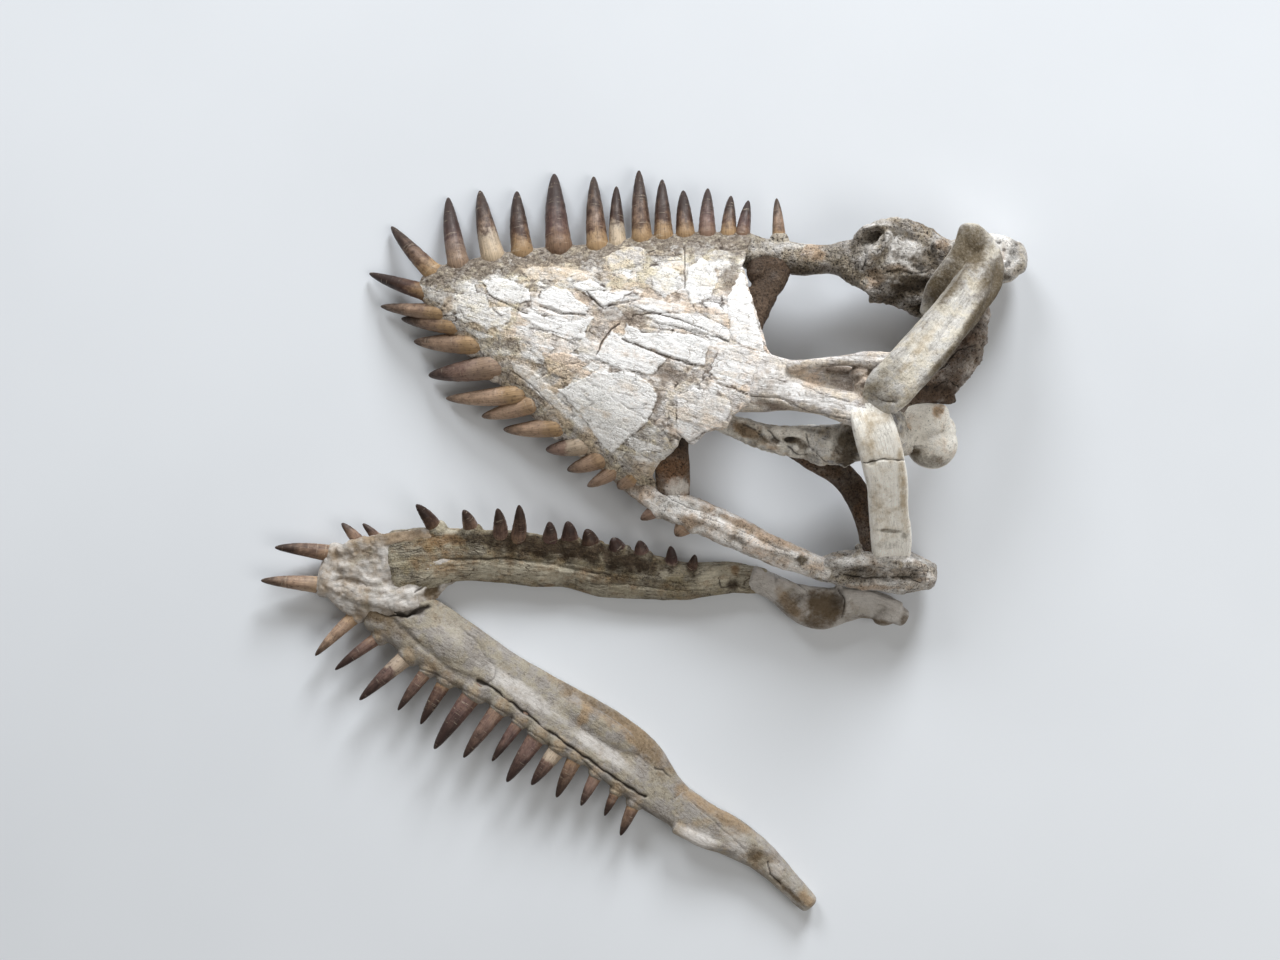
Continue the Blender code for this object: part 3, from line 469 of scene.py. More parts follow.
# Marks: place on the sheet, half sizes, turn in degrees, which mark it sets, to what, and
# any lift in mm.
SPOTS = {
    "snout": (
        (668, 373, 26, 9, 12, STAIN, 0.8, -0.8), (657, 398, 9, 26, 12, STAIN, 0.75, -0.6),
        (644, 436, 10, 20, 40, STAIN, 0.4, -0.5), (660, 458, 22, 12, -30, STAIN, 0.2, -0.3),
        (632, 318, 20, 8, 12, STAIN, 0.8, -0.4), (606, 314, 14, 6, 0, STAIN, 0.6, -0.3),
        (585, 297, 10, 4, 36, STAIN, 0.7, -0.6), (508, 346, 26, 7, 6, STAIN, 0.6, -0.5),
        (490, 284, 16, 5, -20, STAIN, 0.4, -0.3), (730, 279, 10, 20, 12, STAIN, 0.75, -0.5),
        (716, 250, 24, 8, 0, STAIN, 0.5, -0.3), (640, 258, 26, 9, -8, STAIN, 0.45, 0.3),
        (452, 292, 9, 20, 30, STAIN, 0.55, -0.2), (560, 252, 60, 6, 4, STAIN, 0.7, -0.3),
        (465, 345, 30, 7, 44, STAIN, 0.35, -0.3), (500, 382, 24, 8, 38, STAIN, 0.3, -0.3),
        (562, 404, 76, 8, 43, STAIN, 0.08), (562, 404, 76, 8, 43, PALE, 0.75),
        (545, 404, 40, 5, 42, TINT, 0.7), (560, 384, 20, 7, -35, TINT, 0.9, 0.3),
        (512, 334, 12, 8, -10, TINT, 0.9, 0.4), (540, 358, 26, 8, 20, TINT, 0.8, 0.2),
        (447, 305, 6, 20, 20, TINT, 0.8, 0.3), (640, 470, 16, 10, 0, TINT, 0.8, 0.4),
        (590, 436, 10, 12, 20, TINT, 0.7, 0.2), (545, 270, 40, 8, 8, TINT, 0.8, 0.3),
        (600, 276, 26, 6, 6, TINT, 0.6, 0.2), (750, 306, 9, 34, -18, PALE, 1.0, 0.4),
        (700, 308, 30, 5, 12, TINT, 0.6, 0.2), (760, 350, 12, 8, 20, TINT, 0.9),
        (620, 360, 30, 4, 22, TINT, 0.5),
    ),
    "parietal_crest": (
        # The stain at 846, 370, in the trough under the crest's upper rim, is partly brown and
        # partly painted shade there.
        (846, 370, 26, 5, 2, STAIN, 1.0, -0.6), (842, 384, 24, 8, 4, STAIN, 0.75, -0.4),
        (842, 384, 20, 6, 4, DARK, 0.25), (878, 378, 16, 14, -10, STAIN, 0.75, -0.4),
        (878, 380, 12, 8, 0, DARK, 0.3, -0.6), (784, 388, 30, 9, 12, PALE, 0.9),
        (828, 403, 34, 6, 12, PALE, 1.0), (798, 369, 12, 6, 0, TINT, 1.0),
        (798, 368, 9, 5, 0, STAIN, 0.6), (775, 407, 30, 4, 14, STAIN, 0.9),
        (850, 358, 46, 2, 0, PALE, 1.0), (812, 380, 12, 10, 0, TINT, 0.9),
        (770, 372, 20, 7, 6, PALE, 0.8), (878, 398, 16, 6, 0, STAIN, 0.6),
        (806, 411, 20, 4, 10, STAIN, 0.5), (866, 382, 12, 11, 0, TINT, 0.8),
        (864, 386, 5, 4, 0, DARK, 0.5, -1.2), (872, 376, 6, 3, 30, DARK, 0.5, -1.0),
        # The stain at 878, 406 is painted shadow under the squamosal's rounded foot.
        (878, 406, 18, 3, 8, STAIN, 0.7, -0.3), (857, 379, 4, 5, 0, DARK, 0.4, -0.8),
    ),
    "squamosal_right": (
        # On the band, the pale mark at 957, 294 is a painted highlight; the pale streaks at 924,
        # 340 and 934, 352 are partly paler bone and partly painted light on its upper-left face.
        # The stains at 992, 284, 978, 308, 982, 312, 946, 358 and 944, 366 are partly brown bone
        # and partly painted shade on the band's lower-right slope.
        (968, 248, 22, 26, -8, STAIN, 0.95), (944, 284, 18, 30, 38, STAIN, 0.95),
        (992, 284, 14, 34, 22, STAIN, 0.9), (978, 308, 8, 28, 34, STAIN, 0.5),
        (973, 222, 14, 4, 0, STAIN, 0.3), (930, 352, 16, 60, 40, STAIN, 0.12),
        (934, 352, 12, 60, 40, PALE, 0.2), (918, 350, 5, 44, 40, TINT, 0.5),
        # The stains at 875, 390 and 890, 399 are painted shadow under the band's rounded foot.
        (957, 294, 5, 12, 34, PALE, 0.55), (875, 390, 12, 8, -30, STAIN, 0.55, -0.3),
        (890, 399, 16, 5, -6, STAIN, 0.6, -0.3), (944, 366, 4, 34, 42, STAIN, 0.5),
        (982, 312, 8, 44, 36, STAIN, 0.95), (912, 396, 12, 5, -44, STAIN, 0.4),
        (924, 340, 9, 46, 41, PALE, 0.55), (946, 358, 5, 34, 42, STAIN, 0.85),
    ),
    "squamosal_left": (
        (888, 531, 16, 3, 4, STAIN, 0.7, -0.4), (888, 545, 22, 7, 0, STAIN, 0.25),
        (902, 480, 5, 60, -4, TINT, 0.6), (872, 462, 6, 4, 0, STAIN, 0.6, -0.4),
        (904, 536, 5, 4, 0, STAIN, 0.6, -0.5), (868, 440, 8, 26, -4, TINT, 0.5),
        (876, 418, 24, 8, 0, TINT, 0.6), (876, 500, 6, 30, -2, TINT, 0.5),
    ),
    "cheek_right": (
        (768, 248, 12, 7, 0, PALE, 0.4), (815, 252, 14, 12, 0, TINT, 0.9, 0.4),
        # The stains at 790, 274 and 768, 282 and the dark at 800, 278 are partly brown bone and
        # partly painted shade on the bar's lower half.
        (790, 274, 40, 9, -6, STAIN, 1.0, -0.5), (768, 282, 24, 12, -20, STAIN, 1.0),
        (838, 266, 16, 14, 0, STAIN, 0.6), (800, 246, 24, 4, 0, PALE, 0.5, 0.3),
        (772, 262, 26, 10, 0, STAIN, 0.75, -0.4), (800, 278, 40, 6, -4, DARK, 0.45),
    ),
    "temporal_right": (
        (874, 236, 13, 8, -12, STAIN, 0.8, -3.6), (906, 252, 20, 16, 20, PALE, 0.85),
        (868, 250, 8, 14, 30, PALE, 0.5), (938, 258, 10, 12, 0, DARK, 0.45, -1.5),
        (912, 287, 22, 11, -14, STAIN, 1.0, -3.5), (915, 287, 20, 9, -14, DARK, 0.5),
        (850, 268, 12, 20, 15, STAIN, 0.6), (874, 278, 12, 12, 25, TINT, 0.8),
        (942, 244, 9, 7, 0, TINT, 0.9, 0.4), (905, 224, 12, 5, 0, STAIN, 0.6),
        (900, 276, 40, 7, 6, STAIN, 0.8), (930, 262, 14, 16, 10, STAIN, 0.85),
        (920, 268, 5, 4, 20, DARK, 0.6, -1.0), (934, 252, 4, 6, 0, DARK, 0.55, -1.0),
        (898, 296, 7, 4, 10, DARK, 0.6, -1.2), (878, 290, 6, 4, 30, DARK, 0.55, -1.0),
        (866, 262, 4, 8, 20, DARK, 0.4, -0.6), (892, 246, 12, 3, 60, PALE, 0.8, 0.5),
        (910, 300, 8, 4, 10, PALE, 0.5, 0.6), (884, 224, 16, 3, -4, PALE, 0.6),
        (896, 296, 34, 7, 8, DARK, 0.3), (890, 280, 16, 3, 20, PALE, 0.8, 0.8),
        (920, 311, 14, 7, 0, STAIN, 0.9), (886, 300, 18, 5, 0, STAIN, 0.7),
        (856, 240, 8, 12, 20, STAIN, 0.7), (896, 268, 14, 6, 0, TINT, 0.6),
    ),
    "quadrate_right": (
        (1002, 252, 14, 20, 0, PALE, 0.75, 0.3), (1013, 254, 5, 8, 0, DARK, 0.45, -0.8),
        (998, 277, 16, 6, 14, STAIN, 0.95, -0.8), (975, 275, 12, 20, 0, STAIN, 0.8),
        (1008, 264, 4, 5, 20, DARK, 0.6, -0.8), (996, 242, 6, 2.5, 10, DARK, 0.5, -0.6),
        (1016, 242, 3, 6, 0, DARK, 0.5, -0.6), (993, 262, 3, 6, 30, DARK, 0.45, -0.6),
        (1004, 250, 3, 3, 0, DARK, 0.5, -0.6),
    ),
    "quadrate_left": (
        (850, 561, 40, 4, -4, PALE, 0.9), (866, 576, 24, 7, 4, STAIN, 0.75, -0.4),
        (905, 577, 16, 5, -6, STAIN, 0.8, -0.6), (842, 574, 10, 4, 20, DARK, 0.35, -0.6),
        (888, 581, 11, 2.5, 10, DARK, 0.5, -0.8), (862, 570, 8, 2.5, -10, DARK, 0.4, -0.5),
        (912, 570, 9, 2.5, 12, DARK, 0.4, -0.5), (925, 577, 12, 8, 0, PALE, 0.5),
        (900, 557, 30, 4, 2, PALE, 1.0), (860, 546, 7, 7, 20, STAIN, 0.7),
        (876, 588, 36, 3, 0, TINT, 0.7),
    ),
    "cheek_left": (
        (632, 484, 26, 12, 26, STAIN, 0.45), (632, 484, 26, 12, 26, TINT, 0.8),
        (664, 502, 12, 5, 30, PALE, 0.9, 0.3), (690, 522, 12, 9, 10, TINT, 1.0),
        (690, 522, 11, 8, 10, STAIN, 0.5), (712, 522, 18, 8, 24, PALE, 1.0, 0.2),
        (758, 548, 24, 7, 24, PALE, 1.0, 0.3), (755, 530, 50, 6, 26, TINT, 0.9),
        (802, 560, 6, 6, 40, STAIN, 0.95, -0.5), (760, 564, 50, 4, 22, STAIN, 0.7),
        (680, 530, 30, 5, 34, STAIN, 0.6), (795, 568, 14, 4, 20, PALE, 0.9),
        (814, 566, 14, 5, 6, TINT, 0.6, 0.2), (728, 519, 30, 4, 26, STAIN, 0.55, -0.2),
        (776, 545, 22, 4, 24, STAIN, 0.5, -0.3), (700, 508, 18, 4, 26, STAIN, 0.5, -0.2),
        (668, 504, 10, 4, 30, STAIN, 0.5, -0.4), (738, 540, 12, 3, 20, STAIN, 0.6, -0.3),
    ),
    "postorbital_right": (
        (757, 255, 20, 12, 0, DARK, 0.45), (765, 280, 16, 20, 20, DARK, 0.4),
        (780, 262, 12, 8, 0, PALE, 0.3, 0.5), (757, 305, 8, 14, 0, STAIN, 1.0),
    ),
    "postorbital_left": (
        (672, 448, 22, 16, 0, STAIN, 0.95), (674, 466, 16, 12, 0, TINT, 1.0),
        (676, 464, 12, 9, 0, STAIN, 0.5), (677, 486, 14, 10, 0, STAIN, 0.0),
        (677, 487, 14, 10, 0, PALE, 1.0, 0.4), (678, 442, 12, 9, 0, DARK, 0.8),
    ),
    "braincase": (
        (745, 430, 20, 8, 24, STAIN, 0.75), (745, 430, 18, 7, 24, TINT, 1.0),
        (770, 446, 12, 6, 24, TINT, 0.6), (786, 434, 20, 7, 4, PALE, 0.9, 0.2),
        (791, 440, 11, 4, 6, STAIN, 1.0, -1.6), (791, 440, 9, 3, 6, DARK, 0.7),
        (819, 449, 14, 13, 0, PALE, 0.45), (800, 450, 10, 6, 0, PALE, 0.8, 0.2),
        (848, 450, 14, 22, 0, STAIN, 1.0), (848, 450, 10, 16, 0, DARK, 0.35),
        # The dark at 850, 472 is painted shadow, set in a shallow dip.
        (850, 472, 16, 6, 20, DARK, 0.8, -1.0), (738, 418, 18, 3, 14, PALE, 0.8, 0.3),
        (768, 454, 14, 3, 10, STAIN, 0.6, -0.4), (815, 431, 16, 3, 4, DARK, 0.5, -0.4),
        (776, 441, 7, 4, 30, STAIN, 0.9, -0.8), (803, 446, 5, 5, 0, STAIN, 0.8, -0.8),
        (758, 437, 14, 5, 24, STAIN, 0.7), (812, 456, 6, 3, 20, DARK, 0.4, -0.8),
        (828, 444, 5, 6, 0, PALE, 0.8, 0.5), (797, 455, 8, 3, 10, PALE, 0.9, 0.5),
    ),
    "occipital_condyle": (
        (918, 416, 20, 9, 0, PALE, 0.9), (939, 410, 7, 8, 30, TINT, 1.0),
        # The stains at 914, 453 and 928, 462 and the dark at 912, 447, on the ball's lower left and
        # the dip beneath it, are partly brown and partly painted shade.
        (939, 411, 6, 8, 30, STAIN, 0.5), (914, 453, 12, 8, 10, STAIN, 0.95, -0.4),
        (928, 462, 26, 8, 4, STAIN, 0.6), (938, 438, 16, 12, 0, PALE, 0.6),
        (905, 432, 7, 12, 0, TINT, 0.8), (912, 447, 14, 2, -6, DARK, 0.5, -0.6),
    ),
    "pterygoid_left": (
        (820, 462, 20, 8, 25, STAIN, 0.9, -0.5), (850, 492, 14, 22, 35, STAIN, 0.75),
        (860, 505, 8, 26, 15, TINT, 0.6), (826, 444, 10, 6, 0, PALE, 0.4),
    ),
    "pterygoid_right": (
        (974, 338, 12, 12, 0, PALE, 0.45, 0.3), (952, 352, 12, 14, 40, STAIN, 0.8),
        (958, 370, 8, 18, 28, PALE, 0.35, 0.4), (930, 393, 34, 10, 4, STAIN, 1.0, -1.0),
        (936, 388, 24, 6, 0, DARK, 0.5, -1.0), (975, 322, 8, 10, 0, DARK, 0.4, -0.6),
    ),
    "symphysis": (
        (395, 538, 44, 7, -4, TINT, 1.0, 0.3), (388, 534, 30, 5, -4, STAIN, 0.5),
        (450, 538, 30, 6, 0, STAIN, 0.6), (440, 548, 26, 5, 0, TINT, 0.7),
        (345, 558, 14, 5, 10, STAIN, 0.45, -0.8), (372, 556, 12, 4, -14, STAIN, 0.5, -0.8),
        (360, 576, 34, 8, 6, PALE, 0.8, 0.3), (400, 603, 26, 5, 5, PALE, 1.0),
        (400, 580, 16, 5, -8, STAIN, 0.5, -1.0), (352, 581, 12, 3, 10, STAIN, 0.4, -0.7),
        (420, 573, 10, 4, -8, STAIN, 0.5, -0.8), (432, 592, 10, 8, -30, STAIN, 1.0, -2.0),
        (330, 585, 12, 4, 30, PALE, 0.9, 0.3), (450, 563, 26, 5, -4, PALE, 0.7, 0.2),
        (384, 552, 9, 5, 0, PALE, 0.9, 1.0), (414, 556, 8, 5, 30, STAIN, 0.5, -0.8),
        (340, 572, 9, 3, 0, DARK, 0.35, -0.8), (374, 592, 14, 3, 8, STAIN, 0.5, -0.5),
        (420, 566, 5, 4, 0, DARK, 0.4, -0.8), (402, 546, 10, 4, -10, STAIN, 0.6, -0.4),
        (424, 584, 12, 4, -30, DARK, 0.35, -0.8),
    ),
    "dentary_right": (
        (492, 540, 44, 9, 2, STAIN, 0.75), (560, 548, 70, 12, 6, STAIN, 1.0),
        (630, 562, 40, 12, 8, STAIN, 0.95), (470, 572, 50, 10, -4, PALE, 0.9, 0.5),
        (545, 573, 44, 11, 3, PALE, 0.85, 1.3), (445, 540, 26, 7, 0, TINT, 0.9),
        (520, 555, 60, 5, 4, TINT, 0.4), (620, 590, 44, 9, 2, PALE, 0.5),
        (600, 578, 30, 6, 3, TINT, 0.5), (650, 585, 40, 5, 5, STAIN, 0.5, -0.7),
        (720, 575, 28, 12, 0, PALE, 0.7, 0.2), (733, 585, 6, 7, 20, STAIN, 0.8, -1.4),
        (736, 572, 5, 6, 0, TINT, 0.8, 0.4), (693, 566, 8, 12, 0, STAIN, 0.8, 0.4),
        (672, 560, 8, 10, 0, STAIN, 0.85, 0.4), (760, 578, 14, 9, 0, TINT, 0.4),
        (442, 562, 34, 18, 0, STAIN, 0.1), (442, 562, 34, 18, 0, TINT, 0.55),
        (446, 566, 30, 10, -4, PALE, 0.6),
    ),
    "articular_right": (
        (778, 582, 18, 6, 20, PALE, 0.9, 0.3), (824, 608, 25, 21, 0, STAIN, 1.0, -1.2),
        (838, 598, 8, 14, 10, DARK, 0.5, -0.5), (790, 605, 8, 20, -40, TINT, 0.9),
        (794, 606, 14, 18, -30, STAIN, 0.55), (816, 622, 16, 8, 0, STAIN, 0.8),
        # The pale marks at 872, 600 and 894, 612 are partly the end's grey-lilac colour and partly
        # painted light where the skull above shades it.
        (803, 596, 4, 16, -40, PALE, 0.8, 0.8), (872, 600, 26, 9, 10, PALE, 1.0),
        (894, 612, 16, 8, 12, PALE, 0.9), (880, 622, 24, 4, 14, STAIN, 0.7),
        (905, 620, 6, 8, 0, STAIN, 0.7),
    ),
    "dentary_left": (
        (448, 640, 26, 26, 38, PALE, 0.3), (400, 632, 26, 8, 32, STAIN, 0.6),
        (372, 612, 30, 10, 24, STAIN, 0.95, -0.6), (436, 668, 40, 7, 34, STAIN, 0.5),
        (520, 690, 50, 10, 35, PALE, 0.7), (600, 706, 60, 6, 32, STAIN, 0.55),
        (592, 704, 60, 10, 36, TINT, 0.6), (650, 752, 30, 12, 50, STAIN, 0.55),
        (600, 748, 40, 8, 36, PALE, 0.75), (536, 660, 40, 6, 32, TINT, 0.6),
        (640, 740, 40, 12, 46, TINT, 0.9), (480, 625, 20, 5, 40, STAIN, 0.5),
        (585, 714, 6, 14, 30, TINT, 1.0), (684, 792, 14, 10, 40, TINT, 0.8),
    ),
    "articular_left": (
        (700, 838, 22, 10, 20, PALE, 0.85), (735, 838, 20, 9, 35, PALE, 0.5),
        (715, 810, 50, 8, 30, TINT, 0.9), (732, 826, 26, 6, 34, STAIN, 0.4),
        (757, 858, 9, 8, 20, STAIN, 0.9, -1.2), (752, 852, 6, 10, 50, DARK, 0.4, -0.4),
        (790, 893, 24, 3, 42, STAIN, 0.8, -0.5), (808, 900, 16, 7, 30, TINT, 0.8),
        (775, 870, 9, 8, 30, PALE, 0.6, 0.8), (768, 858, 6, 12, 60, STAIN, 0.5, 0.3),
    ),
}
# Cracks and grooves, a few of them also painted shadow under a ledge: width and depth in mm,
# darkness, line on the sheet.
CRACKS = {
    "snout": (
        (0.9, 1.0, 1.0, ((596, 354), (603, 341), (611, 329), (619, 324))),
        (0.8, 0.9, 1.0, ((622, 339), (645, 348), (667, 357), (692, 365))),
        (0.7, 0.8, 0.8, ((483, 283), (489, 295), (510, 306), (528, 314))),
        (0.7, 0.7, 0.7, ((486, 295), (490, 306), (502, 317))),
        (0.9, 1.1, 0.9, ((587, 292), (596, 303), (603, 306), (628, 302))),
        (0.7, 0.7, 0.7, ((530, 328), (552, 332), (578, 339), (600, 342))),
        (0.7, 0.8, 0.7, ((540, 306), (560, 313), (586, 315))),
        (0.7, 0.8, 0.8, ((684, 247), (685, 262), (684, 288))),
        (0.8, 0.9, 0.8, ((632, 316), (652, 312), (680, 320), (706, 330), (728, 342))),
        (0.6, 0.6, 0.6, ((575, 290), (600, 291), (622, 295))),
        (0.6, 0.6, 0.6, ((640, 326), (668, 330), (700, 336))),
        (0.6, 0.7, 0.7, ((716, 383), (740, 391), (770, 402))),
        (0.8, 0.8, 0.6, ((512, 372), (530, 384), (556, 410))),
        (0.6, 0.5, 0.5, ((700, 312), (712, 322), (728, 330))),
        (0.8, 0.9, 0.6, ((708, 246), (730, 250), (752, 246), (762, 238))),
        (0.6, 0.6, 0.6, ((536, 380), (550, 372), (566, 364), (580, 362))),
    ),
    "squamosal_left": ((0.9, 1.0, 0.85, ((852, 462), (868, 463), (884, 459), (907, 461))),),
    # A shallow groove under the band's rounded foot, darkened as painted shadow under it.
    "squamosal_right": ((0.7, 0.7, 0.5, ((868, 392), (880, 400), (896, 403))),),
    "parietal_crest": (
        (0.8, 0.8, 0.6, ((750, 396), (780, 398), (810, 412), (850, 420))),
        (0.6, 0.6, 0.6, ((770, 378), (800, 384), (826, 396), (850, 402))),
    ),
    "temporal_right": (
        (1.2, 1.4, 0.5, ((862, 240), (866, 256), (862, 270))),
        (1.0, 1.2, 0.6, ((886, 272), (900, 270), (914, 274), (926, 272))),
        (0.9, 0.8, 0.4, ((886, 244), (884, 258), (886, 268))),
    ),
    "cheek_left": (
        (0.8, 0.8, 0.6, ((656, 488), (672, 500), (690, 508), (716, 516))),
        (0.7, 0.7, 0.5, ((700, 516), (740, 530), (790, 552))),
    ),
    "quadrate_left": (
        (1.0, 1.2, 0.7, ((844, 575), (862, 578), (882, 578), (907, 577), (920, 583))),
        (0.7, 0.8, 0.5, ((850, 570), (870, 567), (895, 571), (912, 568))),
        (0.7, 0.8, 0.5, ((908, 572), (922, 571), (934, 572))),
        (0.7, 0.8, 0.5, ((910, 578), (922, 578), (930, 580))),
    ),
    "occipital_condyle": ((0.8, 0.7, 0.5, ((898, 443), (908, 446), (916, 440))),),
    "braincase": (
        (1.2, 1.3, 0.7, ((768, 430), (776, 440), (788, 446), (796, 454), (806, 455))),
        (1.0, 1.1, 0.6, ((806, 434), (809, 446), (818, 455), (826, 462))),
        (0.9, 0.9, 0.6, ((744, 424), (756, 430), (764, 440), (776, 448))),
        (0.8, 0.8, 0.5, ((822, 438), (834, 444), (838, 456))),
    ),
    "pterygoid_right": (
        (1.2, 1.5, 0.8, ((975, 345), (958, 350), (945, 366), (925, 378), (915, 392))),
        (1.0, 1.2, 0.7, ((960, 388), (948, 380), (935, 388))),
    ),
    "symphysis": (
        (1.0, 1.2, 0.75, ((415, 592), (425, 586), (436, 580))),
        (0.8, 0.8, 0.6, ((425, 568), (445, 565), (470, 562))),
        (0.7, 0.7, 0.5, ((333, 580), (352, 578), (366, 586))),
    ),
    "dentary_right": (
        (1.8, 1.3, 0.5, ((440, 560), (470, 559), (510, 559), (545, 563), (574, 569), (610, 575))),
        (1.0, 0.5, 0.3, ((574, 569), (576, 590))),
        (0.9, 0.6, 0.4, ((590, 584), (630, 585), (670, 590), (704, 591))),
        (0.8, 0.5, 0.4, ((600, 576), (640, 579), (680, 583))),
        (0.9, 0.8, 0.6, ((718, 578), (722, 588), (732, 586), (744, 588))),
    ),
    "articular_right": (
        (0.8, 0.8, 0.5, ((795, 580), (806, 592), (812, 606))),
        (1.0, 1.0, 0.6, ((838, 588), (844, 602), (842, 618))),
    ),
    "dentary_left": (
        (3.2, 1.6, 0.4, ((385, 612), (400, 626), (424, 648), (453, 672), (482, 683))),
        (1.5, 2.2, 1.0, ((478, 680), (492, 687), (520, 709), (548, 730), (574, 749), (602, 769),
                          (626, 786), (645, 797))),
        (1.8, 0.8, 0.4, ((462, 628), (478, 642), (486, 658), (496, 668), (494, 678), (486, 684))),
        (0.9, 0.3, 0.3, ((580, 712), (610, 730), (634, 752), (656, 770))),
        (0.9, 0.8, 0.7, ((655, 768), (664, 770), (671, 778))),
        (1.0, 0.6, 0.5, ((418, 668), (440, 676), (462, 690), (486, 702), (510, 716), (530, 732),
                         (552, 746), (576, 752), (590, 768), (612, 788), (640, 806), (654, 816))),
        # The last line is the gap under the symphysis's ledge: a deep groove, darkened in full as
        # painted shadow under the ledge.
        (3.4, 3.2, 1.0, ((330, 592), (352, 598), (376, 602), (380, 611), (407, 616), (428, 606))),
    ),
    "articular_left": (
        (0.9, 1.2, 0.6, ((768, 862), (770, 874), (780, 884))),
        (0.7, 0.6, 0.4, ((690, 800), (715, 822), (745, 850))),
    ),
}
# Each bone: its material's slot, lumpiness, fibre and grit in mm, and its stain, paleness and tint.
BONES = {
    "parietal_crest": ("roof_bone", 0.5, 0.25, 0.4, 0.28, 0.25, 0.14),
    "squamosal_right": ("arch_bone", 0.5, 0.05, 0.25, 0.28, -0.15, 0.1),
    "squamosal_left": ("arch_bone", 0.4, 0.15, 0.15, -0.4, 1.0, 0.12),
    "quadrate_right": ("cheek_bone", 0.8, 0.1, 0.6, 0.15, 0.4, 0.05),
    "quadrate_left": ("cheek_bone", 1.3, 0.4, 0.8, 0.3, 0.4, 0.2),
    "temporal_right": ("cheek_bone", 0.8, 0.1, 1.1, 0.4, 0.25, 0.1),
    "cheek_right": ("cheek_bone", 0.7, 0.2, 0.5, 0.3, 0.1, 0.05),
    "cheek_left": ("cheek_bone", 0.8, 0.25, 0.6, 0.1, 0.7, 0.4),
    "postorbital_right": ("matrix_bone", 1.5, 0.1, 0.9, 0.95, 0.0, 0.1),
    "postorbital_left": ("matrix_bone", 0.5, 0.2, 0.15, 0.6, 0.1, 0.4),
    "braincase": ("braincase_bone", 1.0, 0.1, 1.1, 0.08, 0.5, 0.1),
    "occipital_condyle": ("braincase_bone", 0.3, 0.0, 0.15, -0.05, 0.8, 0.15),
    "pterygoid_left": ("matrix_bone", 0.8, 0.2, 0.3, 0.6, 0.1, 0.3),
    "pterygoid_right": ("matrix_bone", 1.6, 0.1, 1.25, 0.5, 0.35, 0.2),
    "symphysis": ("jaw_bone", 1.1, 0.2, 0.9, 0.0, 0.6, 0.32),
    "dentary_right": ("dark_jaw_bone", 0.5, 0.35, 0.25, 0.2, 0.3, 0.2),
    "dentary_left": ("jaw_bone", 0.4, 0.1, 0.2, 0.12, 0.0, 0.08),
    "articular_right": ("jaw_bone", 0.7, 0.15, 0.3, 0.0, 0.6, 0.1),
    "articular_left": ("jaw_bone", 0.5, 0.1, 0.2, 0.05, 0.2, 0.2),
}
# Each kind of bone: ground, second ground, pale, tint, stain and dark; how much fibre and grit.
LOOKS = {
    "snout_bone": (((226, 214, 190), (214, 208, 204), (253, 251, 250), (222, 198, 170),
                    (132, 120, 108), (76, 64, 56)), 0.8, 1.0),
    "roof_bone": (((230, 218, 202), (226, 220, 218), (254, 252, 252), (232, 208, 186),
                   (142, 127, 114), (76, 64, 56)), 1.0, 0.7),
    "arch_bone": (((214, 206, 192), (204, 200, 196), (252, 248, 241), (178, 156, 122),
                   (90, 77, 57), (54, 44, 35)), 0.5, 0.5),
    "cheek_bone": (((196, 184, 166), (204, 198, 194), (252, 249, 247), (200, 168, 138),
                    (96, 84, 68), (44, 38, 34)), 0.7, 1.5),
    "matrix_bone": (((150, 136, 120), (150, 144, 140), (216, 210, 204), (158, 112, 76),
                     (86, 68, 54), (42, 35, 31)), 0.5, 1.3),
    "braincase_bone": (((186, 174, 156), (178, 176, 178), (236, 231, 223), (182, 146, 108),
                        (98, 86, 70), (44, 40, 38)), 0.4, 1.0),
    "jaw_bone": (((155, 147, 133), (152, 146, 141), (198, 193, 189), (154, 130, 102),
                  (96, 80, 60), (42, 34, 28)), 0.5, 0.5),
    "dark_jaw_bone": (((150, 138, 112), (147, 139, 124), (194, 186, 168), (138, 104, 66),
                       (58, 44, 30), (34, 27, 23)), 1.25, 0.9),
}
# The teeth: dark tip, deep and light body, base, pale cracks, and the cool ones' body.
TOOTH_COLOURS = (
    (46, 34, 31), (84, 60, 48), (190, 161, 138), (174, 144, 108), (210, 194, 172), (116, 92, 90),
)
PAPER = ((223, 226, 232), (228, 231, 237))
GLOSS = 0.25

# The floor's reach each way in metres, and the camera's sensor in mm.
FLOOR_REACH = 6.0
SENSOR = 36.0
# Lights: name, place and breadth in metres, watts, colour.
LIGHTS = (
    ("window", (1.0, 3.4, 1.6), 1.35, 138.0, (0.945, 0.982, 1.0)),
    ("lamp", (-1.3, 2.8, 1.9), 1.35, 56.0, (0.955, 0.985, 1.0)),
    ("room", (1.4, -0.7, 2.0), 1.6, 18.0, (1.0, 0.99, 0.95)),
)
ROOM_COLOUR = (1.0, 0.955, 0.86)
ROOM_STRENGTH = 0.185


# Numbers over the whole surface at once

def unit(vectors):
    """The vectors, each made 1 long."""
    return vectors / np.linalg.norm(vectors, axis=1)[:, None]


GRADIENTS = unit(np.random.default_rng(7).normal(size=(LAST_DRAW + 1, 3)))
SHUFFLE = np.random.default_rng(11).permutation(LAST_DRAW + 1)


def hashed(cell):
    """A number from 0 to LAST_DRAW for each cell of space, the same one every time."""
    x, y, z = (cell[:, k] & LAST_DRAW for k in range(3))
    return SHUFFLE[(SHUFFLE[(SHUFFLE[x] + y) & LAST_DRAW] + z) & LAST_DRAW]


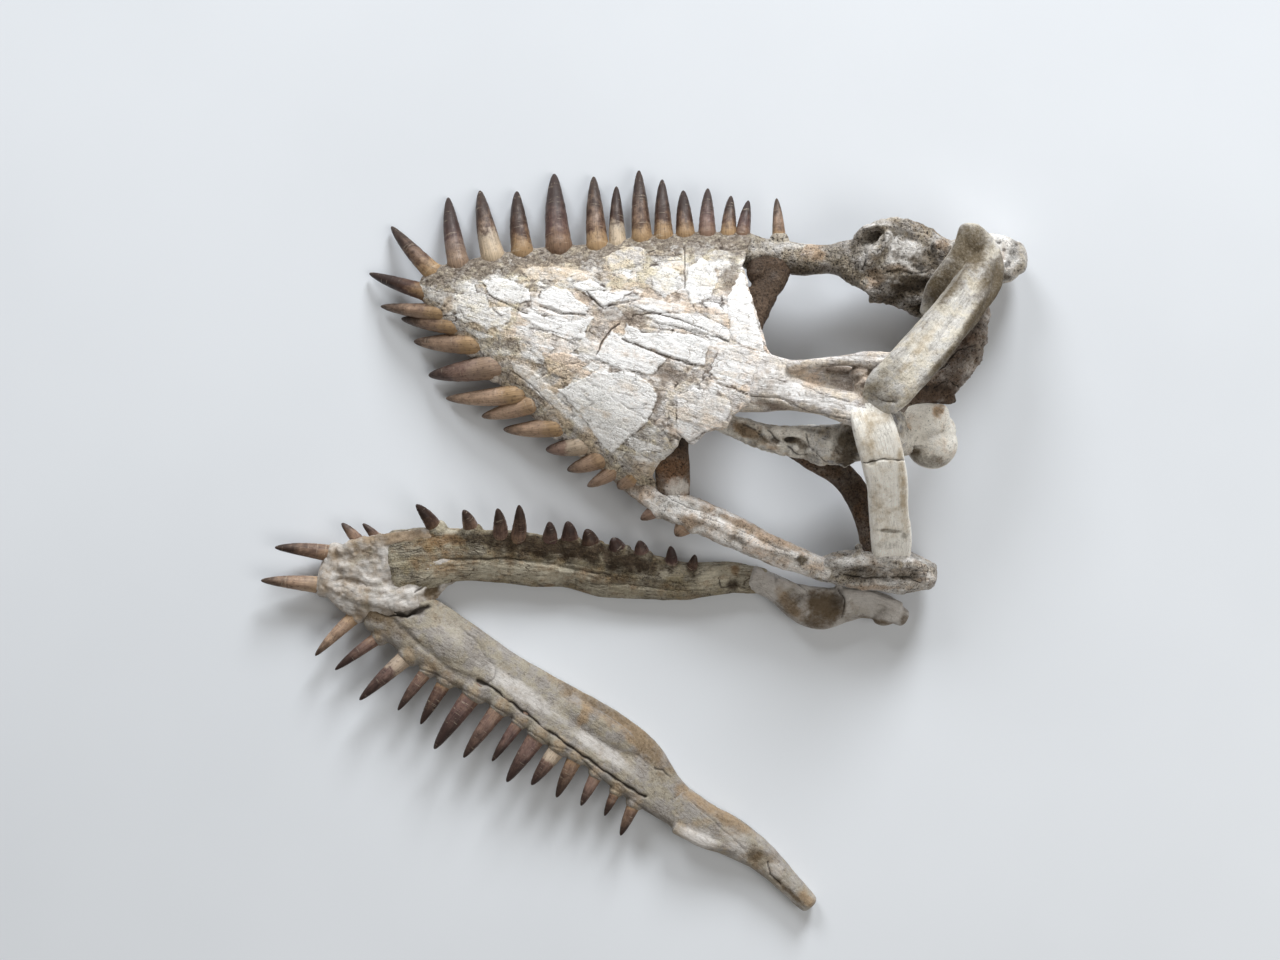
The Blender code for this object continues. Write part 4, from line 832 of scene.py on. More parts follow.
def noise(points, size, seed=0):
    """Smooth noise, about -1 to 1, with swells of the size given for all or each axis."""
    scaled = points / np.asarray(size, float) + seed * 19.37 + 0.31
    cell = np.floor(scaled).astype(np.int64)
    inside = scaled - cell
    eased = inside**3 * (inside * (inside * 6 - 15) + 10)
    total = np.zeros(len(points))
    for corner in np.ndindex(2, 2, 2):
        corner = np.array(corner)
        slope = ((inside - corner) * GRADIENTS[hashed(cell + corner)]).sum(1)
        total += slope * np.where(corner, eased, 1 - eased).prod(1)
    return total * NOISE_GAIN


def layers(points, size, count, seed=0):
    """Noise of the size given, with finer and fainter noise on it."""
    size = np.asarray(size, float)
    return sum(noise(points, size / 2**k, seed + k) * LAYER_FADE**k for k in range(count))


def cells(points, size, seed=0):
    """Distance to the nearest scattered point, how much further the next is, and a chance value."""
    scaled = points / np.asarray(size, float) + seed * 7.13
    cell = np.floor(scaled).astype(np.int64)
    first = np.full(len(points), FAR)
    second = first.copy()
    own = np.zeros(len(points), int)
    for step in np.ndindex(3, 3, 3):
        near = cell + np.array(step) - 1
        key = hashed(near)
        gap = np.linalg.norm(near + 0.5 + GRADIENTS[key] * 0.5 - scaled, axis=1)
        closer = gap < first
        second = np.where(closer, first, np.minimum(second, gap))
        first = np.where(closer, gap, first)
        own = np.where(closer, key, own)
    return first, second - first, own / LAST_DRAW


def ease(low, high, value):
    """0 up to low, 1 from high on, and a smooth rise between them."""
    share = np.clip((value - low) / (high - low), 0, 1)
    return share * share * (3 - 2 * share)


def cos_sin(degrees):
    return math.cos(math.radians(degrees)), math.sin(math.radians(degrees))


def to_sheet(co):
    """Where points in the drawing frame are seen on the sheet."""
    scale = EYE / (SHEET_UNIT * (EYE - co[:, 2]))
    return np.stack((SHEET_WIDTH / 2 + co[:, 0] * scale, SHEET_HEIGHT / 2 - co[:, 1] * scale), 1)


def from_sheet(px, py, z):
    """The point at height z that is seen at a place on the sheet."""
    scale = SHEET_UNIT * (EYE - z) / EYE
    return (px - SHEET_WIDTH / 2) * scale, (SHEET_HEIGHT / 2 - py) * scale, z


def from_line(points, line):
    """Each point's distance from a line of straight runs."""
    best = np.full(len(points), np.inf)
    for a, b in zip(np.array(line[:-1], float), np.array(line[1:], float)):
        run = b - a
        share = np.clip((points - a) @ run / (run @ run), 0, 1)
        best = np.minimum(best, np.linalg.norm(points - a - share[:, None] * run, axis=1))
    return best


def inside_outline(points, outline):
    """Each point's distance from the outline, more than 0 inside it."""
    x, y = points.T
    inside = np.zeros(len(points), bool)
    for (x0, y0), (x1, y1) in zip(outline, outline[1:] + outline[:1]):
        if y0 != y1:
            inside ^= ((y0 > y) != (y1 > y)) & (x < (x1 - x0) * (y - y0) / (y1 - y0) + x0)
    return from_line(points, outline + outline[:1]) * np.where(inside, 1, -1)


# Lines and the directions along them

def sections(rows):
    """Rows of place, breadth, depth and roll, which is 0 where a row leaves it out."""
    return np.array([(*row, 0)[:6] for row in rows], float)


def distance_along(points):
    return np.r_[0, np.cumsum(np.linalg.norm(np.diff(points, axis=0), axis=1))]


def spline(rows, step, run=None):
    """Rows read off a smooth curve through the given rows, about step mm apart."""
    rows = np.array(rows, float)
    if run is None:
        run = distance_along(rows[:, :3])
    slope = np.gradient(rows, run, axis=0)
    at = np.linspace(run[0], run[-1], int((run[-1] - run[0]) / step) + 2)
    i = np.clip(np.searchsorted(run, at, side="right") - 1, 0, len(run) - 2)
    length = (run[i + 1] - run[i])[:, None]
    t = (at - run[i])[:, None] / length
    held = (2 * t**3 - 3 * t**2 + 1) * rows[i] + (3 * t**2 - 2 * t**3) * rows[i + 1]
    bent = (t**3 - 2 * t**2 + t) * slope[i] + (t**3 - t**2) * slope[i + 1]
    return held + bent * length


def directions(middle):
    """The heading, left and upwards directions along a line of points."""
    heading = unit(np.gradient(middle, axis=0))
    side = unit(np.cross(UP, heading))
    return heading, side, np.cross(heading, side)


def path_frames(rows):
    """Middles of the sections, and the directions along them, turned by their roll."""
    middle = rows[:, :3]
    heading, side, up = directions(middle)
    turn = np.radians(rows[:, 5])[:, None]
    return (
        middle, heading, side * np.cos(turn) + up * np.sin(turn),
        up * np.cos(turn) - side * np.sin(turn),
    )


def turns(sides, start=0.0):
    """Angles spread evenly round a circle."""
    return math.tau * (np.arange(sides) + start) / sides


def power(value, exponent):
    return np.sign(value) * np.abs(value) ** exponent


def section_places(sides, squareness):
    """Places across and above, from -1 to 1, round a section that is as square as given."""
    turn = turns(sides, 0.5)
    return power(np.cos(turn), 2 / squareness), power(np.sin(turn), 2 / squareness)


# Shells, each a list of points and of faces

def shell_of_rings(rings):
    count = len(rings[0])
    faces = []
    for r in range(len(rings) - 1):
        for i in range(count):
            j = (i + 1) % count
            faces.append((r * count + i, r * count + j, (r + 1) * count + j, (r + 1) * count + i))
    faces.append(tuple(range(count))[::-1])
    faces.append(tuple((len(rings) - 1) * count + i for i in range(count)))
    return np.concatenate(rings), faces


def bone_shell(rows, squareness):
    """A bone through its sections, with domed ends."""
    rows = spline(rows, ROW_STEP)
    middle, heading, side, up = path_frames(rows)
    across, above = section_places(BONE_SIDES, squareness)

    def ring(k, out, size):
        centre = middle[k] + heading[k] * out
        return (
            centre + np.outer(across, side[k]) * rows[k, 3] / 2 * size
            + np.outer(above, up[k]) * rows[k, 4] / 2 * size
        )

    near, far = (DOME_LENGTH * min(rows[k, 3:5]) / 2 for k in (0, -1))
    rings = [ring(0, -near * math.sin(a), math.cos(a) ** DOME_FALL) for a in DOME]
    rings += [ring(k, 0, 1) for k in range(len(rows))]
    rings += [ring(-1, far * math.sin(a), math.cos(a) ** DOME_FALL) for a in DOME[::-1]]
    return shell_of_rings(rings)


def swelling(px, py, z, long, wide, high, turn):
    """A rounded lump, oval from above and turned on the sheet."""
    centre = np.array(from_sheet(px, py, z))
    c, s = cos_sin(turn)
    around = turns(SWELLING_SIDES)
    rings = []
    for a in np.radians(np.linspace(-SWELLING_END, SWELLING_END, SWELLING_RINGS)):
        x, y = long * math.cos(a) * np.cos(around), wide * math.cos(a) * np.sin(around)
        flat = np.full(SWELLING_SIDES, high * math.sin(a))
        rings.append(centre + np.stack((x * c + y * s, y * c - x * s, flat), 1))
    return shell_of_rings(rings)


def sleeve(base, way, breadth):
    """The collar of bone that rises round a tooth's base."""
    side = np.cross(UP, way)
    side /= np.linalg.norm(side)
    up = np.cross(way, side)
    turn = turns(TOOTH_SIDES)
    circle = np.outer(np.cos(turn), side) + np.outer(np.sin(turn), up)
    return shell_of_rings([base + way * out + circle * breadth * size for out, size in COLLAR])


# The snout, in u from its tip backwards and v to the animal's right

def snout_point(u, v, z):
    c, s = cos_sin(SNOUT_HEADING)
    return np.array((SNOUT_TIP[0] + u * c - v * s, SNOUT_TIP[1] + u * s + v * c, z))


def snout_place(co):
    """u and v of points in the drawing frame."""
    c, s = cos_sin(SNOUT_HEADING)
    x, y = co[:, 0] - SNOUT_TIP[0], co[:, 1] - SNOUT_TIP[1]
    return x * c + y * s, y * c - x * s


def snout_at(u):
    """The snout's measures at u, in the order of SNOUT's columns after the first."""
    rows = np.array(SNOUT, float)
    return [np.interp(u, rows[:, 0], rows[:, k]) for k in range(1, 7)]


def snout_shell():
    rows = spline(SNOUT, ROW_STEP, run=np.array(SNOUT, float)[:, 0])
    across, above = section_places(SNOUT_SIDES, SNOUT_SQUARENESS)
    rings = []
    for u, right, left, ridge, rim, palate, sole in rows:
        top = rim + (ridge - rim) * RIDGE_SHARE * (1 - np.abs(across) ** RIDGE_FALL)
        below = sole + (palate - sole) * (1 - across * across)
        z = (top + below) / 2 + above * (top - below) / 2
        v = across * np.where(across > 0, right, left)
        rings.append(np.stack(snout_point(u, v, z), 1))
    return shell_of_rings(rings)


def rear_prism():
    """What the broken rear edge takes away from the plate."""
    dense = []
    for a, b in zip(REAR_EDGE, REAR_EDGE[1:]):
        count = max(int(math.dist(a, b) / REAR_STEP), 1)
        dense += [np.array(a) + (np.array(b) - np.array(a)) * k / count for k in range(count)]
    dense = np.array(dense)
    flat = np.c_[dense, np.zeros(len(dense))]
    dense = dense + np.stack((noise(flat, 6, 3), noise(flat, 6, 5)), 1) * REAR_RAGGED
    outline = [tuple(p) for p in dense] + list(REAR_FAR)
    rings = []
    for z in REAR_SPAN:
        rings.append(np.array([(*from_sheet(px, py, REAR_HEIGHT)[:2], z) for px, py in outline]))
    return shell_of_rings(rings)


def roof_sides(u, v):
    """How far each place is inside the two edges of the roof, in mm."""
    found = []
    for ((u0, v0), (u1, v1)), sign in ((ROOF_RIGHT, 1), (ROOF_LEFT, -1)):
        run = math.hypot(u1 - u0, v1 - v0)
        found.append(sign * ((v1 - v0) * (u - u0) - (u1 - u0) * (v - v0)) / run)
    return found


# Surfaces

def mesh_of(shells, name="shells"):
    points = np.concatenate([points for points, _ in shells])
    faces, start = [], 0
    for shell_points, shell_faces in shells:
        faces += [tuple(i + start for i in face) for face in shell_faces]
        start += len(shell_points)
    mesh = bpy.data.meshes.new(name)
    mesh.from_pydata(points.tolist(), [], faces)
    return mesh


def linked(name, mesh):
    made = bpy.data.objects.new(name, mesh)
    bpy.context.scene.collection.objects.link(made)
    return made


def modified(body):
    """The object's mesh with its modifiers applied. The object itself goes."""
    graph = bpy.context.evaluated_depsgraph_get()
    mesh = bpy.data.meshes.new_from_object(body.evaluated_get(graph))
    bpy.data.objects.remove(body, do_unlink=True)
    return mesh


def less(shell, cut):
    """The shell without what the other one takes away from it."""
    body, knife = linked("body", mesh_of([shell])), linked("knife", mesh_of([cut]))
    cutting = body.modifiers.new("cut", "BOOLEAN")
    cutting.operation, cutting.object, cutting.solver = "DIFFERENCE", knife, "EXACT"
    left = modified(body)
    bpy.data.objects.remove(knife, do_unlink=True)
    return np.array([v.co for v in left.vertices]), [tuple(f.vertices) for f in left.polygons]


def give(mesh, name, kind, values):
    """Writes a mesh attribute that the materials read."""
    layer = mesh.attributes.new(name, kind, "POINT")
    field = "color" if kind == "FLOAT_COLOR" else "vector"
    layer.data.foreach_set(field, values.astype(np.float32).ravel())


class Surface:
    """One closed skin round all the shells, with the lift, marks and grain of its points."""

    def __init__(self, shells, grain_of, ragged=RAGGED):
        body = linked("shells", mesh_of(shells))
        skin = body.modifiers.new("skin", "REMESH")
        skin.mode, skin.voxel_size, skin.adaptivity = "VOXEL", VOXEL, 0
        self.mesh = modified(body)
        self.count = len(self.mesh.vertices)
        self.co = self.read("vertices", "co", 3, float)
        self.edges = self.read("edges", "vertices", 2, np.int32)
        for _ in range(RELAX_TIMES):
            self.co += (self.mean_of_near(self.co) - self.co) * RELAX_SHARE
        self.find_normals()
        self.grain = grain_of(self.co)
        self.ragged = ragged
        self.wander = np.stack([noise(self.co, WANDER, seed) for seed in (21, 22)], 1)
        self.marks = np.zeros((self.count, 4))
        self.lift = np.zeros(self.count)

    def read(self, items, field, width, kind):
        items = getattr(self.mesh, items)
        values = np.empty(len(items) * width, np.float32 if kind is float else kind)
        items.foreach_get(field, values)
        return values.reshape(-1, width).astype(kind)

    def whole(self, items, field):
        """One whole number for each item."""
        return self.read(items, field, 1, np.int32)[:, 0]

    def mean_of_near(self, values):
        a, b = self.edges.T
        total = [
            np.bincount(a, values[b, k], self.count) + np.bincount(b, values[a, k], self.count)
            for k in range(values.shape[1])
        ]
        links = np.bincount(self.edges.ravel(), minlength=self.count)
        return np.stack(total, 1) / np.maximum(links, 1)[:, None]

    def find_normals(self):
        """Normals, how much each point faces up, and where it is seen on the sheet."""
        self.mesh.vertices.foreach_set("co", self.co.astype(np.float32).ravel())
        self.mesh.update()
        values = np.empty(self.count * 3, np.float32)
        self.mesh.vertex_normals.foreach_get("vector", values)
        self.normal = values.reshape(-1, 3).astype(float)
        self.facing = ease(0, FACING, self.normal[:, 2])
        self.sheet = to_sheet(self.co)

    def darken(self, amount):
        self.marks[:, DARK] = np.maximum(self.marks[:, DARK], amount)

    def spot(self, px, py, long, wide, turn, channel, amount, lift=0.0):
        """A ragged oval mark."""
        c, s = cos_sin(turn)
        x, y = self.sheet[:, 0] - px, self.sheet[:, 1] - py
        reach = np.hypot((x * c + y * s) / long, (y * c - x * s) / wide)
        near = reach < SPOT_LIMIT
        if near.any():
            ragged = reach[near] + self.ragged * layers(self.co[near], 8.0, 4, channel + long)
            share = (1 - ease(*SPOT_EDGE, ragged)) * self.facing[near]
            self.marks[near, channel] += (amount - self.marks[near, channel]) * share
            self.lift[near] += lift * share

    def crack(self, width, depth, dark, line):
        """A groove along a wandering line, dark at its bottom."""
        away = from_line(self.sheet + self.wander, line)
        wide = width * (0.75 + 0.6 * noise(self.co, 9.0, 4))
        share = np.exp(-((away * SHEET_UNIT / np.maximum(wide, HAIRLINE)) ** 2)) * self.facing
        self.lift -= depth * share
        broken = 1 if dark >= 1 else ease(-0.9, 0.3, noise(self.co, 12.0, 6))
        self.darken(dark * share * broken)

    def spots(self, name):
        for mark in SPOTS.get(name, ()):
            self.spot(*mark)

    def cracks(self, name):
        for mark in CRACKS.get(name, ()):
            self.crack(*mark)

    def slivers(self, size, height, tone, seed, share=1.0):
        """Splinters along the grain, each at its own height and shade, with dark lines between."""
        bent = self.grain + self.wander[:, [1, 0, 1]] * (1.5, 0.35, 0.35)
        _, edge, own = cells(bent, size, seed)
        line = (1 - ease(0.02, 0.11, edge)) * share * ease(-0.3, 0.4, noise(self.co, 9.0, seed))
        self.lift += height * ((own - 0.5) * share - 0.6 * line)
        self.marks[:, DARK] += 0.55 * min(tone * 2, 1) * line
        self.marks[:, PALE] += tone * (own - 0.5) * share
        self.marks[:, TINT] += tone * ((own * 7.3) % 1 - 0.5) * share

    def weather(self, lump, fibre, grit):
        """Lumps, fibres, grit, crags and pits, as lift in mm and as marks, and cloudy colour."""
        co = self.co
        craggy, gritty = max(grit - 0.3, 0), min(grit * 2, 1)
        rough = np.clip(0.35 + 0.9 * noise(co, ROUGH_PATCH, 41), 0, 1)
        self.lift += lump * (0.9 * noise(co, LUMP, 1) + 0.45 * noise(co, SMALL_LUMP, 2))
        self.lift += fibre * layers(self.grain / FIBRE, 1.0, 2, 31) * (1.3 - rough) * 0.6
        if fibre > SPLINTERY:
            self.slivers(BONE_SLIVER, fibre * 0.8, 0.3, 17)
        self.lift += grit * rough * (0.6 - cells(co, GRIT, 5)[0]) * 1.4
        crags = 0.35 - np.abs(noise(co, CRAG, 12)) - 0.5 * np.abs(noise(co, CRAG / 2, 13))
        self.lift += 2.2 * craggy * crags
        self.marks[:, PALE] += 0.9 * craggy * crags
        pits = cells(co + self.normal, PIT, 9)[0]
        pit = (1 - ease(0.08, 0.22, pits)) * rough * ease(0.0, 0.5, noise(co, PITTED_PATCH, 10))
        self.lift -= grit * 1.2 * pit
        self.marks[:, DARK] += 0.45 * pit * gritty
        self.marks[:, STAIN] += 0.2 * layers(co, STAIN_CLOUD, 3, 51) + 0.2 * rough * gritty
        self.marks[:, PALE] += 0.3 * layers(co, PALE_CLOUD, 4, 61)
        self.marks[:, TINT] += 0.3 * layers(co, TINT_CLOUD, 4, 71)

    def raise_up(self):
        """Moves the points by their lift, paints shade into the dips and keeps all of it above the
        floor.
        """
        # Painted shade: points lower than those round them are darkened, as if shadowed.
        painted_hollow_shade = self.mean_of_near(self.mean_of_near(self.lift[:, None]))[:, 0] - self.lift
        self.marks[:, DARK] += np.clip(painted_hollow_shade * 0.7, 0, 0.4)
        self.co += self.normal * self.lift[:, None]
        low = np.array(CAD_BOX[0]) / MM - SHIFT + CLEARANCE
        high = np.array(CAD_BOX[1]) / MM - SHIFT - CLEARANCE
        low[2] = CLEARANCE
        self.co = np.clip(self.co, low, high)
        self.marks = np.clip(self.marks, 0, 1)

    def piece(self, name, faces=None):
        """The surface, or the given faces of it, as a finished object."""
        corners = self.whole("loops", "vertex_index")
        starts = self.whole("polygons", "loop_start")
        sizes = self.whole("polygons", "loop_total")
        chosen = np.arange(len(starts)) if faces is None else np.flatnonzero(faces)
        index = [corners[starts[f]:starts[f] + sizes[f]] for f in chosen]
        used, flat = np.unique(np.concatenate(index), return_inverse=True)
        mesh = bpy.data.meshes.new(name)
        mesh.vertices.add(len(used))
        mesh.loops.add(len(flat))
        mesh.polygons.add(len(chosen))
        co = (self.co[used] + SHIFT) * MM
        mesh.vertices.foreach_set("co", co.astype(np.float32).ravel())
        mesh.loops.foreach_set("vertex_index", flat.astype(np.int32).ravel())
        ends = np.cumsum(sizes[chosen])
        mesh.polygons.foreach_set("loop_start", (ends - sizes[chosen]).astype(np.int32))
        mesh.update(calc_edges=True)
        mesh.polygons.foreach_set("use_smooth", np.ones(len(chosen), bool))
        give(mesh, "marks", "FLOAT_COLOR", self.marks[used])
        give(mesh, "grain", "FLOAT_VECTOR", self.grain[used])
        return linked(name, mesh)


# Teeth

def snout_socket(along, inset, right):
    """The base of a tooth on the snout's margin, and the outward and forward directions there."""
    reach_right, reach_left, _, rim, _, sole = snout_at(along)
    v = reach_right - inset if right else inset - reach_left
    origin = snout_point(0, 0, 0)
    outward = snout_point(0, 1 if right else -1, 0) - origin
    return snout_point(along, v, (rim + sole) / 2), outward, snout_point(-1, 0, 0) - origin


def bone_socket(rows, along, inset, right):
    """The base of a tooth on a bone's outer edge, and the outward and forward directions there."""
    middle, _, side, _ = path_frames(rows)
    sign = 1 if right else -1
    for i in range(len(rows) - 1):
        run = middle[i + 1] - middle[i]
        length = math.hypot(run[0], run[1])
        if along <= length or i == len(rows) - 2:
            break
        along -= length
    share = along / length
    across = side[i] + (side[i + 1] - side[i]) * share
    across /= np.linalg.norm(across)
    half = (rows[i, 3] + (rows[i + 1, 3] - rows[i, 3]) * share) / 2
    base = middle[i] + run * share + across * sign * (half - inset)
    outward = np.array((across[0], across[1], 0)) * sign
    forward = -np.array((run[0], run[1], 0))
    return base, outward / np.linalg.norm(outward), forward / np.linalg.norm(forward)


def tooth_lines(row, socket, rise):
    """Base, tip, level direction and breadth of every tooth of a row."""
    found = []
    for along, inset, length, lean, breadth in row:
        base, outward, forward = socket(along, inset)
        c, s = cos_sin(lean)
        way = outward * c + forward * s
        tip = base + way * length + np.array((0, 0, length * math.tan(math.radians(rise))))
        tip[2] = max(tip[2], LOWEST_TIP)
        found.append((base, tip, way, breadth))
    return found


def upper_teeth(row, right):
    """The upper teeth, whose roots show on top of the margin."""
    back, rise, swell = UPPER_ROOTS[right]
    lines = tooth_lines(row, lambda s, i: snout_socket(s, i, right), UPPER_DROP)
    return [
        (base - way * back + np.array((0.0, 0.0, rise)), tip, way, breadth * swell)
        for base, tip, way, breadth in lines
    ]


def teeth_on(name, row, right, rise):
    """The teeth along one edge of a bone."""
    rows = sections(PATHS[name])
    return tooth_lines(row, lambda s, i: bone_socket(rows, s, i, right), rise)


# The teeth on each bone: each row's teeth, how far they curve sideways and how dark they are.
TEETH = {
    "premaxillae": (
        (upper_teeth(UPPER_RIGHT[:5], True), 0.03, 1.0),
        (upper_teeth(UPPER_LEFT[:4], False), 0.03, 0.4),
    ),
    "maxilla_right": ((upper_teeth(UPPER_RIGHT[5:], True), 0.02, 1.0),),
    "maxilla_left": ((upper_teeth(UPPER_LEFT[4:], False), 0.05, 0.0),),
    "cheek_right": ((teeth_on("cheek_right", CHEEK_RIGHT_TEETH, True, UPPER_DROP), 0.0, 0.7),),
    "cheek_left": ((teeth_on("cheek_left", CHEEK_LEFT_TEETH, False, UPPER_DROP), 0.0, 0.3),),
    "symphysis": (
        (teeth_on("symphysis", SYMPHYSIS_RIGHT_TEETH, True, SYMPHYSIS_RISE), -0.05, 0.6),
        (teeth_on("symphysis", SYMPHYSIS_LEFT_TEETH, False, SYMPHYSIS_RISE), -0.03, 0.45),
    ),
    "dentary_right": (
        (teeth_on("dentary_right", LOWER_RIGHT_TEETH, True, RIGHT_RISE), -0.08, 0.95),
    ),
    "dentary_left": (
        (teeth_on("dentary_left", LOWER_LEFT_TEETH, False, LEFT_RISE), -0.02, 0.8),
    ),
}


def lines_of(*names):
    """The lines of all the teeth on the bones named."""
    return [line for name in names for lines, *_ in TEETH.get(name, ()) for line in lines]


def tooth_parts(base, tip, way, breadth, bow, dark, chance):
    """Points, faces, crown marks and grain of one curved tooth with its root in the bone."""
    reach = tip - base
    length = np.linalg.norm(reach)
    arch = np.array((0, 0, length * TOOTH_ARCH))
    elbow = base + reach * 0.5 + arch + np.cross(UP, way) * bow * length
    share = np.r_[-ROOT_DEPTH / length, CROWN_SHARES]
    above = np.maximum(share, 0)
    t = above[:, None]
    middle = base * (1 - t) ** 2 + elbow * 2 * t * (1 - t) + tip * t**2
    middle[0] = base - way * ROOT_DEPTH
    _, side, up = directions(middle)
    size = np.interp(above, *zip(*CROWN))
    size = (size + np.interp(above * CROWN_BLUR, *zip(*CROWN))) / 2
    size = np.minimum(size, np.sqrt(np.clip(1 - above, 0, 1)) * TIP_BREADTH)
    size[0] = ROOT_SIZE
    size *= (
        1 + NECK_SWELL * np.exp(-((share * length / NECK_LENGTH) ** 2))
        + TOOTH_WOBBLE * chance.normal(size=len(share))
    )
    turn = turns(TOOTH_SIDES)
    ridge = 1 + FLUTE_DEPTH * np.sin(turn * FLUTES + chance.uniform(0, 6))
    rings, grain = [], []
    for k in range(len(share)):
        circle = np.outer(np.cos(turn) * ridge, side[k]) + np.outer(np.sin(turn) * ridge, up[k])
        rings.append(middle[k] + circle * breadth / 2 * size[k])
        grain.append(np.stack((
            np.full(TOOTH_SIDES, share[k] * length), np.cos(turn) * breadth / 2,
            np.sin(turn) * breadth / 2,
        ), 1))
    points, faces = shell_of_rings(rings)
    own = np.clip(dark + chance.uniform(-DARK_CHANCE, DARK_CHANCE), 0, 1)
    marks = np.repeat(share, TOOTH_SIDES)[:, None] * (1, 0, 0, 0) + (
        0, own, chance.uniform(), chance.uniform())
    return points, faces, marks, np.concatenate(grain) + chance.uniform(0, GRAIN_CHANCE)


def teeth_piece(name, rows, seed):
    """All the teeth on one bone as one object."""
    chance = np.random.default_rng(seed)
    shells, marks, grain = [], [], []
    for lines, bow, dark in rows:
        for base, tip, way, breadth in lines:
            points, faces, crown, fibre = tooth_parts(base, tip, way, breadth, bow, dark, chance)
            shells.append(((points + SHIFT) * MM, faces))
            marks.append(crown)
            grain.append(fibre)
    mesh = mesh_of(shells, name)
    mesh.polygons.foreach_set("use_smooth", np.ones(len(mesh.polygons), bool))
    low, high = (np.array(corner) for corner in CAD_BOX)
    low[2] += CLEARANCE * MM
    gap = TOOTH_CLEARANCE * MM
    co = np.clip(np.concatenate([points for points, _ in shells]), low + gap, high - gap)
    mesh.vertices.foreach_set("co", co.astype(np.float32).ravel())
    marks = np.concatenate(marks)
    marks[:, 2] *= LOWER_WARMTH if name.startswith(("symphysis", "dentary")) else 1.0
    give(mesh, "crown", "FLOAT_COLOR", marks)
    give(mesh, "grain", "FLOAT_VECTOR", np.concatenate(grain))
    mesh.update()
    return linked(name, mesh)


# Materials

def rgb(red, green, blue):
    """A colour given as it looks on a screen, as light."""
    return tuple(
        c / 12.92 if c <= 0.04045 else ((c + 0.055) / 1.055) ** 2.4
        for c in (red / 255, green / 255, blue / 255)
    ) + (1.0,)


class Net:
    """A material's nodes."""

    def __init__(self, name):
        self.material = bpy.data.materials.new(name)
        self.material.use_nodes = True
        self.tree = self.material.node_tree

    def put(self, kind, **settings):
        node = self.tree.nodes.new("ShaderNode" + kind)
        for key, value in settings.items():
            setattr(node, key, value)
        return node

    def feed(self, socket, value):
        if isinstance(value, bpy.types.NodeSocket):
            self.tree.links.new(value, socket)
        else:
            socket.default_value = value

    def finished(self, colour, roughness, normal):
        inputs = self.tree.nodes["Principled BSDF"].inputs
        for name, value in (("Base Color", colour), ("Roughness", roughness),
                            ("Specular IOR Level", GLOSS), ("Normal", normal)):
            self.feed(inputs[name], value)
        return self.material

    def place(self):
        return self.put("TexCoord").outputs["Object"]

    def grain(self):
        return self.put("Attribute", attribute_name="grain").outputs["Vector"]

    def channels(self, name):
        """The four channels of a mesh attribute."""
        attribute = self.put("Attribute", attribute_name=name)
        parts = self.put("SeparateColor")
        self.feed(parts.inputs[0], attribute.outputs["Color"])
        return (*parts.outputs[:3], attribute.outputs["Alpha"])

    def noise(self, vector, scale, detail=4.0, roughness=0.6, distortion=0.0):
        node = self.put("TexNoise")
        self.feed(node.inputs["Vector"], vector)
        for key, value in (("Scale", scale), ("Detail", detail), ("Roughness", roughness),
                           ("Distortion", distortion)):
            node.inputs[key].default_value = value
        return node.outputs["Fac"]

    def scatter(self, vector, scale, **settings):
        """Distance from scattered points, or from the borders between them."""
        node = self.put("TexVoronoi", **settings)
        self.feed(node.inputs["Vector"], vector)
        node.inputs["Scale"].default_value = scale
        return node.outputs["Distance"]

    def stretch(self, vector, scale):
        node = self.put("Mapping")
        self.feed(node.inputs["Vector"], vector)
        node.inputs["Scale"].default_value = scale
        return node.outputs["Vector"]

    def math(self, operation, *values, clamp=False):
        node = self.put("Math", operation=operation, use_clamp=clamp)
        for socket, value in zip(node.inputs, values):
            self.feed(socket, value)
        return node.outputs[0]

    def plus(self, a, b):
        return self.math("ADD", a, b)

    def minus(self, a, b):
        return self.math("SUBTRACT", a, b)

    def times(self, a, b, clamp=False):
        return self.math("MULTIPLY", a, b, clamp=clamp)

    def times_plus(self, a, b, c, clamp=False):
        return self.math("MULTIPLY_ADD", a, b, c, clamp=clamp)

    def span(self, value, low, high, to_low=0.0, to_high=1.0):
        """A smooth step from one value to another as the input goes from low to high."""
        node = self.put("MapRange", interpolation_type="SMOOTHSTEP")
        for socket, given in zip(node.inputs, (value, low, high, to_low, to_high)):
            self.feed(socket, given)
        return node.outputs[0]

    def mix(self, share, a, b, blend="MIX"):
        node = self.put("Mix", data_type="RGBA", blend_type=blend)
        self.feed(node.inputs[0], share)
        self.feed(node.inputs[6], a)
        self.feed(node.inputs[7], b)
        return node.outputs[2]

    def tone(self, colour, value):
        """The colour made darker or lighter."""
        return self.mix(1.0, colour, value, "MULTIPLY")

    def bump(self, height, strength, distance):
        node = self.put("Bump")
        node.inputs["Strength"].default_value = strength
        node.inputs["Distance"].default_value = distance
        self.feed(node.inputs["Height"], height)
        return node.outputs["Normal"]


